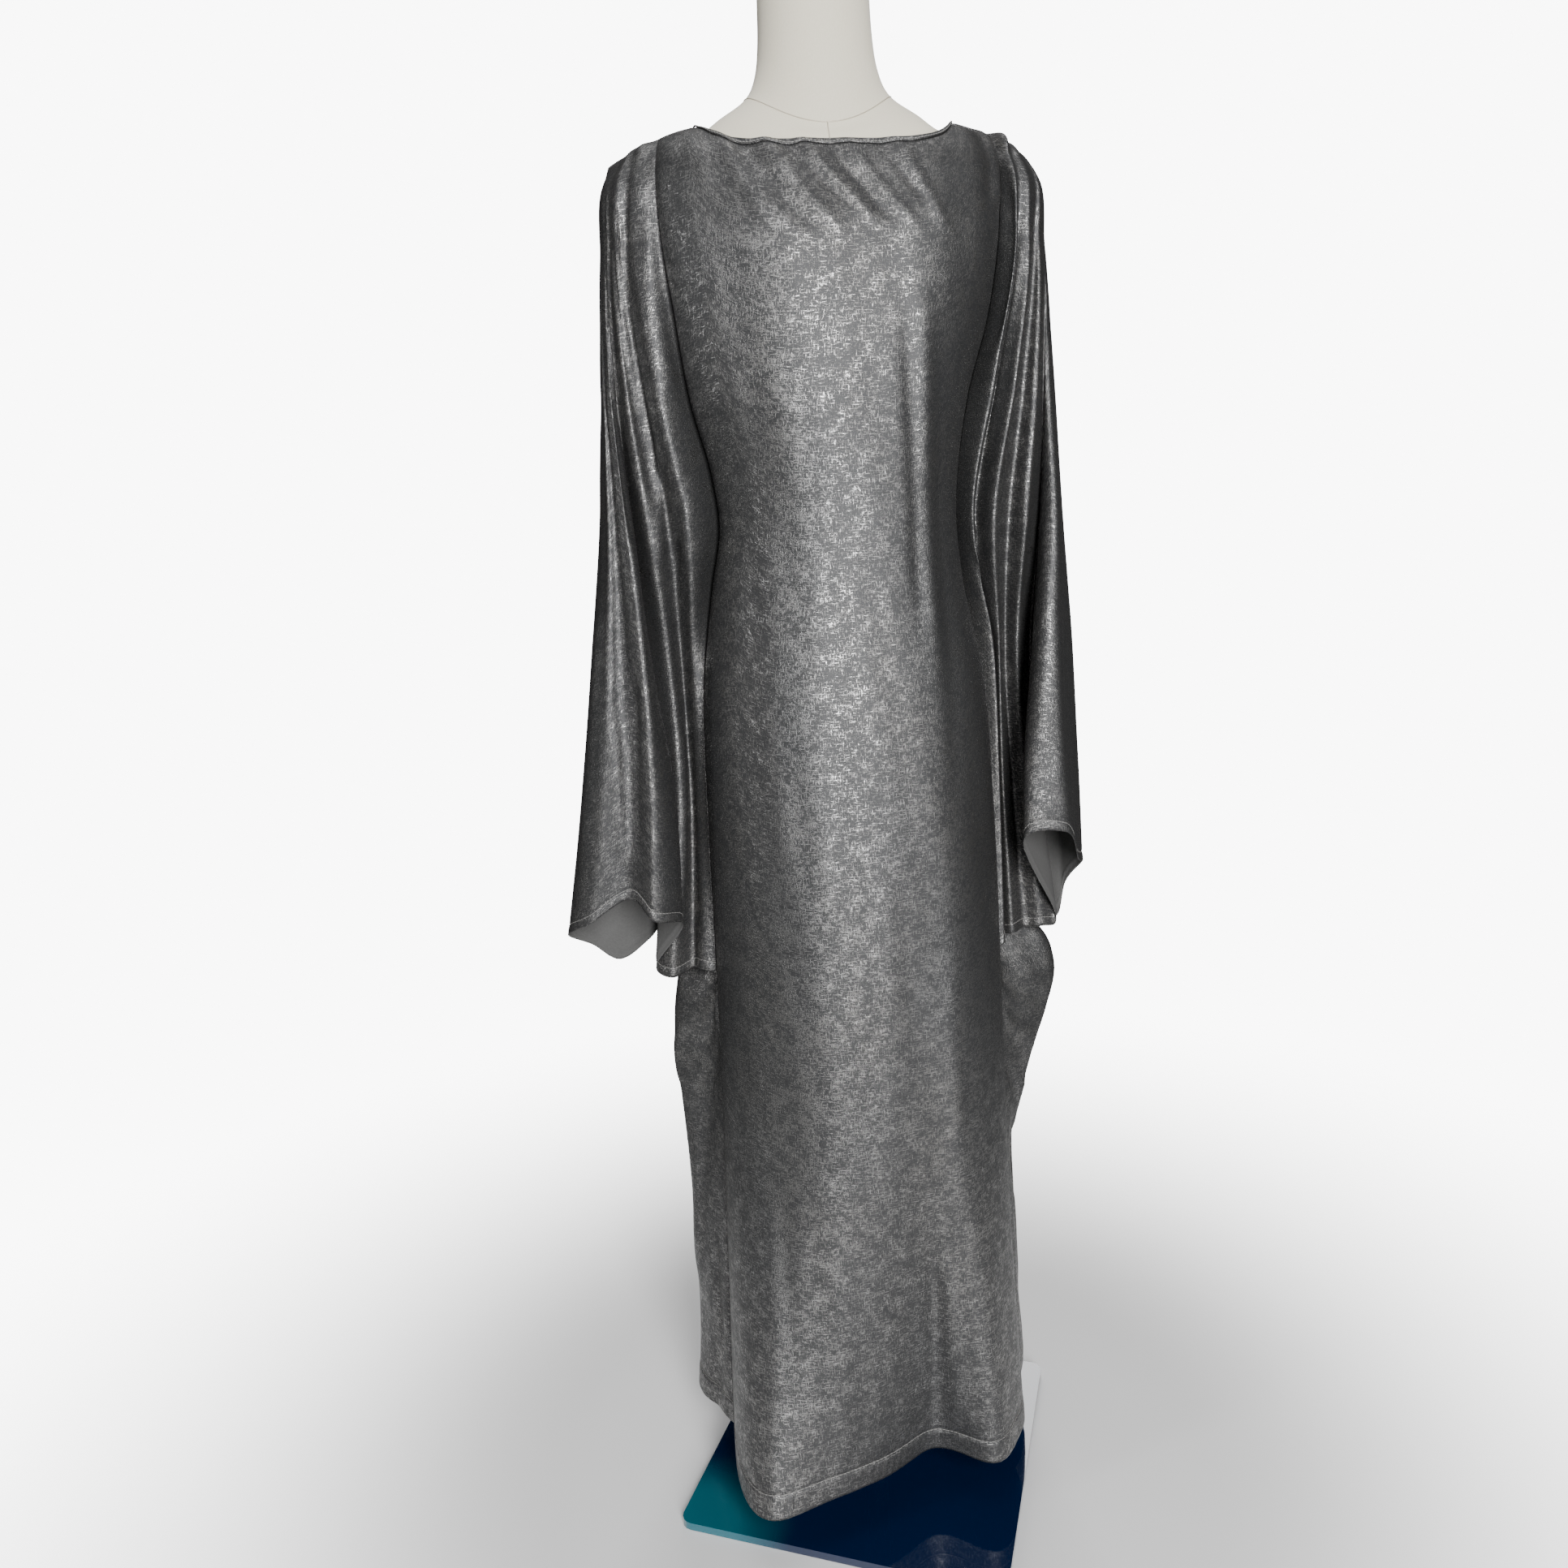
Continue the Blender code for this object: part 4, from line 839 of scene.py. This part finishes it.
def blend_colours(tree, factor, one, other):
    node = add_node(tree, "ShaderNodeMix", data_type="RGBA")
    tree.links.new(factor, node.inputs["Factor"])
    for socket, colour in ((node.inputs[6], one), (node.inputs[7], other)):
        if isinstance(colour, tuple):
            socket.default_value = (*colour, 1.0)
        else:
            tree.links.new(colour, socket)
    return node.outputs[2]


def from_to(tree, factor, low, high):
    node = add_node(tree, "ShaderNodeMapRange")
    tree.links.new(factor, node.inputs["Value"])
    node.inputs["To Min"].default_value = low
    node.inputs["To Max"].default_value = high
    return node.outputs["Result"]


def bump(tree, height, strength, distance):
    node = add_node(tree, "ShaderNodeBump")
    node.inputs["Strength"].default_value = strength
    node.inputs["Distance"].default_value = distance
    tree.links.new(height, node.inputs["Height"])
    return node.outputs["Normal"]


def foil_material():
    """Dark cloth with foil pressed on it, broken into short dashes along both ways of the weave.

    Off a highlight the foil and the cloth are nearly one dark grey. In a highlight the smoother
    foil flashes and the cloth between its dashes stays dark.
    """
    made, shader = new_material("pewter_foil_cloth", 0.4, 0.9)
    tree = made.node_tree
    flat = add_node(tree, "ShaderNodeUVMap", uv_map="flat").outputs["UV"]
    weft = noise(tree, stretch(tree, flat, (140, 800, 1)), 1.0, 3.0, 0.65)
    warp = noise(tree, stretch(tree, flat, (850, 170, 1)), 1.0, 3.0, 0.65)
    grain = noise(tree, flat, 1100.0, 2.0, 0.7)
    patches = noise(tree, flat, 60.0, 3.0, 0.6)
    worn = noise(tree, stretch(tree, flat, (9, 4, 1)), 1.0, 2.0, 0.5)
    woven = maths(tree, "MAXIMUM", weft, warp)
    woven = maths(tree, "ADD", woven, maths(tree, "MULTIPLY", maths(tree, "SUBTRACT", grain, 0.5), 0.35))
    woven = maths(tree, "ADD", woven, maths(tree, "MULTIPLY", maths(tree, "SUBTRACT", patches, 0.5), 0.30))
    foil = between(tree, woven, 0.50, 0.66)
    bright = between(tree, woven, 0.62, 0.78)
    warm = blend_colours(tree, worn, (0.235, 0.238, 0.242), (0.250, 0.238, 0.222))
    base = blend_colours(tree, foil, (0.060, 0.0605, 0.062), warm)
    colour = blend_colours(tree, bright, base, (0.52, 0.52, 0.525))
    tree.links.new(colour, shader.inputs["Base Color"])
    tree.links.new(from_to(tree, foil, 0.75, 1.0), shader.inputs["Metallic"])
    rough = maths(tree, "SUBTRACT", from_to(tree, foil, 0.52, 0.36), maths(tree, "MULTIPLY", bright, 0.10))
    tree.links.new(rough, shader.inputs["Roughness"])
    relief = maths(tree, "ADD", maths(tree, "MULTIPLY", foil, 0.5), grain)
    tree.links.new(bump(tree, relief, 0.45, 0.0004), shader.inputs["Normal"])
    return made


def wrong_side_material():
    """The cloth's wrong side: matt grey, with the weave showing a little."""
    made, shader = new_material("cloth_wrong_side", 0.75, 0.0)
    tree = made.node_tree
    flat = add_node(tree, "ShaderNodeUVMap", uv_map="flat").outputs["UV"]
    weave = noise(tree, stretch(tree, flat, (300, 700, 1)), 1.0, 2.0, 0.6)
    tree.links.new(blend_colours(tree, weave, (0.060, 0.060, 0.059), (0.105, 0.104, 0.102)), shader.inputs["Base Color"])
    tree.links.new(bump(tree, weave, 0.3, 0.0004), shader.inputs["Normal"])
    return made


def jersey_material():
    """Cream knit stretched over the form: fine ribs and a soft mottle."""
    made, shader = new_material("cream_knit", 0.88, 0.0)
    tree = made.node_tree
    place = add_node(tree, "ShaderNodeTexCoord").outputs["Object"]
    ribs = noise(tree, stretch(tree, place, (1500, 1500, 420)), 1.0, 1.5, 0.5)
    mottle = noise(tree, place, 26.0, 3.0, 0.55)
    fine = blend_colours(tree, ribs, (0.72, 0.665, 0.52), (0.86, 0.81, 0.67))
    tree.links.new(blend_colours(tree, from_to(tree, mottle, 0.0, 0.35), fine, (0.80, 0.75, 0.60)), shader.inputs["Base Color"])
    shader.inputs["Sheen Weight"].default_value = 0.25
    shader.inputs["Sheen Roughness"].default_value = 0.5
    tree.links.new(bump(tree, ribs, 0.25, 0.0004), shader.inputs["Normal"])
    return made


def thread_material(name, dark, pale):
    made, shader = new_material(name, 0.45, 0.35)
    tree = made.node_tree
    place = add_node(tree, "ShaderNodeTexCoord").outputs["Object"]
    twist = noise(tree, place, 1400.0, 2.0, 0.5)
    tree.links.new(blend_colours(tree, twist, dark, pale), shader.inputs["Base Color"])
    return made


def steel_material():
    """Brushed steel: fine streaks round the pole."""
    made, shader = new_material("brushed_steel", 0.3, 1.0)
    tree = made.node_tree
    place = add_node(tree, "ShaderNodeTexCoord").outputs["Object"]
    streaks = noise(tree, stretch(tree, place, (40, 40, 1800)), 1.0, 2.0, 0.6)
    tree.links.new(blend_colours(tree, streaks, (0.52, 0.52, 0.51), (0.70, 0.70, 0.69)), shader.inputs["Base Color"])
    tree.links.new(from_to(tree, streaks, 0.24, 0.42), shader.inputs["Roughness"])
    return made


def glass_material():
    """Deep teal glass under a clear gloss, with painted shade: dark navy away from its front left corner, where the
    dress's shadow and reflection fall.
    """
    made, shader = new_material("teal_glass", 0.06, 0.0)
    tree = made.node_tree
    place = add_node(tree, "ShaderNodeTexCoord").outputs["Object"]
    # Painted shade and reflection: the colour turns from teal to dark navy with distance from the front left corner,
    # standing in for the dress's shadow and reflection on the plate.
    centre = add_node(tree, "ShaderNodeMapping")
    tree.links.new(place, centre.inputs["Vector"])
    centre.inputs["Location"].default_value = (0.219, 0.099, 0.0)
    far = add_node(tree, "ShaderNodeVectorMath", operation="LENGTH")
    tree.links.new(centre.outputs["Vector"], far.inputs[0])
    shade_edge_wobble = maths(tree, "MULTIPLY", noise(tree, place, 14.0, 1.0, 0.4), 0.04)
    deep = between(tree, maths(tree, "ADD", far.outputs["Value"], shade_edge_wobble), 0.065, 0.14)
    tree.links.new(blend_colours(tree, deep, (0.004, 0.115, 0.155), (0.001, 0.010, 0.045)), shader.inputs["Base Color"])
    shader.inputs["Coat Weight"].default_value = 1.0
    shader.inputs["Coat Roughness"].default_value = 0.03
    return made


def wood_material():
    """Turned wood: rings about the pole's axis, drawn out by the grain."""
    made, shader = new_material("turned_wood", 0.42, 0.0)
    tree = made.node_tree
    place = add_node(tree, "ShaderNodeTexCoord").outputs["Object"]
    rings = add_node(tree, "ShaderNodeTexWave", wave_type="BANDS", bands_direction="X")
    rings.inputs["Scale"].default_value = 55.0
    rings.inputs["Distortion"].default_value = 5.0
    rings.inputs["Detail"].default_value = 3.0
    tree.links.new(stretch(tree, place, (1, 0.25, 1)), rings.inputs["Vector"])
    tree.links.new(blend_colours(tree, rings.outputs["Fac"], (0.30, 0.17, 0.085), (0.50, 0.33, 0.18)), shader.inputs["Base Color"])
    return made


def dress(piece, nodes):
    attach(piece, "root")
    if nodes:
        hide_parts(*nodes)
    return piece


def front_sheet(rows):
    """The front with its creases: the surface lifted along its normals."""
    points = rest_on_form(front_points(rows))
    normal = normals_of(points, False)
    from_edge = lengths(points[::-1], 0)[::-1]
    rise = crease_rise(FRONT_CREASES, points[..., 0], points[..., 2])
    rise *= seam_fade(points)
    along = lengths(points, 1)
    rise += random_waves(3, points[..., 0] + 0.15 * points[..., 2], 6, 0.03, 0.09, 0.0006)
    rise += hem_rise(from_edge, 0.023, random_waves(11, along, 5, 0.008, 0.02, 0.0006))
    return points + normal * (rise * edge_hold(points))[..., None], normal


def back_sheet(rows):
    points = rest_on_form(back_points(rows))
    normal = normals_of(points, True)
    from_edge = lengths(points[::-1], 0)[::-1]
    rise = crease_rise(BACK_CREASES, points[..., 0], points[..., 2])
    rise *= seam_fade(points)
    along = lengths(points, 1)
    rise += random_waves(5, points[..., 0] - 0.12 * points[..., 2], 6, 0.02, 0.06, 0.0012)
    rise += hem_rise(from_edge, 0.023, random_waves(12, along, 5, 0.008, 0.02, 0.0006))
    return points + normal * (rise * edge_hold(points))[..., None], normal


def seam_fade(points):
    """1 inside a sheet and 0 at its two sides, so that neighbours still meet at their seam."""
    columns = np.linspace(0, 1, points.shape[1])
    fade = np.clip(np.minimum(columns, 1 - columns) / 0.03, 0, 1)
    return (fade * fade * (3 - 2 * fade))[None, :]


def edge_hold(points):
    """Seam fade that also leaves the top row where the shoulder seam is."""
    rows = np.linspace(0, 1, len(points))
    top = np.clip(rows / 0.008, 0, 1)
    return seam_fade(points) * top[:, None]


def wing_sheet(folds, creases, side, per_fold):
    points, outer = wing_points(folds, side, per_fold)
    points = rest_on_form(points)
    flip = side < 0
    normal = normals_of(points, flip)
    columns = np.arange(points.shape[1]) / per_fold
    rise = crease_rise(creases, columns[None, :], points[..., 2])
    across = lengths(points, 1)
    rise += random_waves(21 if side < 0 else 22, across + 0.1 * points[..., 2], 5, 0.03, 0.08, 0.0006)
    from_edge = lengths(points[::-1], 0)[::-1]
    rise += hem_rise(from_edge, 0.010, random_waves(31, across, 5, 0.008, 0.02, 0.0005))
    return points + normal * (rise * edge_hold(points))[..., None], normal, outer


def cascade_sheet(table, word, side, per_fold):
    points = cascade_points(table, side, per_fold)
    normal = normals_of(points, side < 0)
    columns = np.arange(points.shape[1]) / per_fold
    rise = crease_rise(CASCADE_CREASES[word], columns[None, :], points[..., 2])
    across = lengths(points, 1)
    rise += random_waves(41 if side < 0 else 42, across + 0.1 * points[..., 2], 5, 0.02, 0.05, 0.0012)
    from_edge = lengths(points[::-1], 0)[::-1]
    rise += hem_rise(from_edge, 0.023, random_waves(51, across, 5, 0.008, 0.02, 0.0006))
    return points + normal * (rise * edge_hold(points))[..., None], normal


def neck_band(word, points, normal):
    """The band on the neckline: a narrow strip of the panel's own surface, moved out."""
    inner = np.abs(points[0, :, 0]) <= SHOULDER_END_X + 0.002
    sheet, out = points[:, inner], normal[:, inner]
    walked = lengths(sheet, 0)
    steps = np.linspace(0, BAND_WIDTH, 9)
    rows = []
    columns = np.arange(sheet.shape[1])
    for step in steps:
        below = np.clip((walked <= step).sum(0) - 1, 0, len(sheet) - 2)
        low, high = walked[below, columns], walked[below + 1, columns]
        part = ((step - low) / (high - low))[:, None]
        place = sheet[below, columns] * (1 - part) + sheet[below + 1, columns] * part
        raised = 0.0006 + 0.0010 * math.sqrt(max(0.0, 1 - (2 * step / BAND_WIDTH - 1) ** 4))
        rows.append(place + out[below, columns] * raised)
    strip = np.stack(rows)
    return strip, out[4]


FOIL = foil_material()
WRONG_SIDE = wrong_side_material()
KNIT = jersey_material()
KNIT_SEAM = thread_material("knit_seam", (0.50, 0.45, 0.35), (0.66, 0.61, 0.50))
FOIL_THREAD = thread_material("foil_thread", (0.10, 0.10, 0.10), (0.46, 0.45, 0.43))
STEEL = steel_material()
GLASS = glass_material()
WOOD = wood_material()

panel_rows = fine_rows(SEAM_ROWS)
front, front_out = front_sheet(panel_rows)
back, back_out = back_sheet(panel_rows)
cloth = {}
trims = []

cloth["front_panel_cloth"] = add_cloth_piece("front_panel_cloth", front, False, front.shape[1] // 2)
cloth["back_panel_cloth"] = add_cloth_piece("back_panel_cloth", back, True, back.shape[1] // 2)
dress(cloth["front_panel_cloth"], ["front_panel"])
dress(cloth["back_panel_cloth"], ["back_panel"])

for word, points, out, flip in (("front", front, front_out, False), ("back", back, back_out, True)):
    strip, strip_out = neck_band(word, points, out)
    band = add_cloth_piece("neck_band_" + word + "_cloth", strip, flip, 0)
    dress(band, ["neck_band_" + word])
    cloth["neck_band_" + word + "_cloth"] = band
    line = strip[6]
    trims.append(stitches("neck_stitches_" + word, line, strip_out, 0.0034, 0.00042, FOIL_THREAD))
    line, line_out = edge_offset(points, 0.023, out, 0.0002)
    trims.append(stitches("hem_stitches_" + word, line, line_out, 0.0042, 0.00040, FOIL_THREAD))

for side, word, folds, creases, table in (
    (-1, "left", LEFT_FOLDS, LEFT_CREASES, LEFT_CASCADE),
    (1, "right", RIGHT_FOLDS, RIGHT_CREASES, RIGHT_CASCADE),
):
    wing, wing_out, outer = wing_sheet(folds, creases, side, 8)
    flip = side < 0
    for part, points, out in (
        ("front", wing[:, : outer + 1], wing_out[:, : outer + 1]),
        ("back", wing[:, outer:], wing_out[:, outer:]),
    ):
        name = "wing_" + part + "_" + word
        cloth[name + "_cloth"] = add_cloth_piece(name + "_cloth", points, flip, 0 if part == "back" else -1)
        dress(cloth[name + "_cloth"], [name])
        line, line_out = edge_offset(points, 0.010, out, 0.0002)
        trims.append(stitches("cuff_stitches_" + part + "_" + word, line, line_out, 0.0038, 0.00040, FOIL_THREAD))
    fall, fall_out = cascade_sheet(table, word, side, 14)
    cloth["cascade_" + word + "_cloth"] = add_cloth_piece("cascade_" + word + "_cloth", fall, flip, 0)
    dress(cloth["cascade_" + word + "_cloth"], ["cascade_" + word])
    line, line_out = edge_offset(fall, 0.023, fall_out, 0.0002)
    trims.append(stitches("hem_stitches_" + word, line, line_out, 0.0042, 0.00040, FOIL_THREAD))

# The form: one knit skin over rings, with its seams as fine cords sunk in it.
skin = form_points(128)[:, :-1]
form_mesh = grid_mesh("form_skin", skin, closed=True, flip=True)
form = dress(add_piece("form_skin", form_mesh, KNIT), ["dress_form"])
step = FORM_FINE
neck_line = form_points(128)[3 * step]
centre_line = form_points(128)[3 * step : 12 * step, 96]
centre_out = np.tile([0.0, -1.0, 0.2], (len(centre_line), 1))
for name, line in (
    ("form_neck_seam", neck_line),
    ("form_front_seam", centre_line),
    ("form_back_seam", form_points(128)[3 * step : 12 * step, 32]),
    ("form_left_shoulder_seam", form_points(128)[3 * step : 8 * step, 64]),
    ("form_right_shoulder_seam", form_points(128)[3 * step : 8 * step, 0]),
):
    cord = tube_points(line, np.full(len(line), 0.00055), 8)
    trims.append(add_piece(name, grid_mesh(name, cord, closed=True), KNIT_SEAM))

for piece in trims:
    dress(piece, [])

for node, material in (
    ("neck_cap", WOOD), ("form_flange", STEEL), ("pole", STEEL), ("pole_socket", STEEL), ("base_plate", GLASS),
):
    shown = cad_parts[node]
    shown.data.materials.clear()
    shown.data.materials.append(material)

# A pale floor, a wide soft window in front of it and a dimmer light on the other sides.
floor_mesh = bpy.data.meshes.new("floor")
floor_mesh.from_pydata([(-6, -6, 0), (6, -6, 0), (6, 6, 0), (-6, 6, 0)], [], [(0, 1, 2, 3)])
floor_mesh.transform(Matrix.Translation((0, 0, -0.0005)))
pale, pale_shader = new_material("pale_floor", 0.9, 0.0)
pale_tree = pale.node_tree
pale_place = add_node(pale_tree, "ShaderNodeTexCoord").outputs["Object"]
pale_tree.links.new(
    blend_colours(pale_tree, noise(pale_tree, pale_place, 3.0), (0.86, 0.86, 0.86), (0.89, 0.89, 0.89)),
    pale_shader.inputs["Base Color"],
)
# The floor fades out round the plate, so that it meets the pale surround without an edge.
far = add_node(pale_tree, "ShaderNodeVectorMath", operation="LENGTH")
pale_tree.links.new(pale_place, far.inputs[0])
pale_tree.links.new(
    maths(pale_tree, "SUBTRACT", 1.0, between(pale_tree, far.outputs["Value"], 0.35, 1.5)),
    pale_shader.inputs["Alpha"],
)
add_piece("floor", floor_mesh, pale)


def add_window(name, place, aim, width, height, power):
    light = bpy.data.lights.new(name, "AREA")
    light.shape = "RECTANGLE"
    light.size = width
    light.size_y = height
    light.energy = power
    made = bpy.data.objects.new(name, light)
    bpy.context.scene.collection.objects.link(made)
    place = Vector(place)
    turn = (Vector(aim) - place).to_track_quat("-Z", "Y")
    made.matrix_world = Matrix.Translation(place) @ turn.to_matrix().to_4x4()


add_window("front_window", (0.34, -2.6, 1.35), (0.0, 0.0, 1.0), 0.75, 2.2, 135)
add_window("left_window", (-2.4, -0.9, 1.6), (0.0, 0.0, 1.0), 0.35, 2.0, 16)
add_window("back_window", (0.6, 2.8, 1.7), (0.0, 0.0, 0.9), 1.2, 2.2, 60)
add_window("ceiling_light", (0.0, 0.0, 3.4), (0.0, 0.0, 0.0), 2.0, 2.0, 26)

world = bpy.data.worlds.new("studio")
world.use_nodes = True
bpy.context.scene.world = world
sky = world.node_tree.nodes["Background"]
sky.inputs["Color"].default_value = (1.0, 1.0, 1.0, 1.0)
sky.inputs["Strength"].default_value = 0.035
seen = add_node(world.node_tree, "ShaderNodeBackground")
seen.inputs["Color"].default_value = (1.0, 1.0, 1.0, 1.0)
seen.inputs["Strength"].default_value = 9.0
either = add_node(world.node_tree, "ShaderNodeMixShader")
path = add_node(world.node_tree, "ShaderNodeLightPath")
world.node_tree.links.new(path.outputs["Is Camera Ray"], either.inputs["Fac"])
world.node_tree.links.new(sky.outputs["Background"], either.inputs[1])
world.node_tree.links.new(seen.outputs["Background"], either.inputs[2])
world.node_tree.links.new(either.outputs["Shader"], world.node_tree.nodes["World Output"].inputs["Surface"])

# The camera stands a little to the left and below the middle, tilted down and rolled.
CAMERA_PLACE = (-0.166, -1.150, 0.950)
CAMERA_TURN = math.radians(5.0)
CAMERA_TILT = math.radians(-9.0)
CAMERA_ROLL = math.radians(3.0)
FOCAL_PIXELS = 1395.0
FRAME_PIXELS = 1932.0
camera = bpy.data.cameras.new("camera")
camera.sensor_width = 36.0
camera.lens = FOCAL_PIXELS / FRAME_PIXELS * camera.sensor_width
camera_object = bpy.data.objects.new("camera", camera)
bpy.context.scene.collection.objects.link(camera_object)
ahead = Vector((math.sin(CAMERA_TURN) * math.cos(CAMERA_TILT), math.cos(CAMERA_TURN) * math.cos(CAMERA_TILT), math.sin(CAMERA_TILT)))
level = Vector((math.cos(CAMERA_TURN), -math.sin(CAMERA_TURN), 0.0))
upward = level.cross(ahead)
right = level * math.cos(CAMERA_ROLL) - upward * math.sin(CAMERA_ROLL)
above = level * math.sin(CAMERA_ROLL) + upward * math.cos(CAMERA_ROLL)
camera_object.matrix_world = Matrix.Translation(CAMERA_PLACE) @ Matrix((right, above, -ahead)).transposed().to_4x4()
bpy.context.scene.camera = camera_object
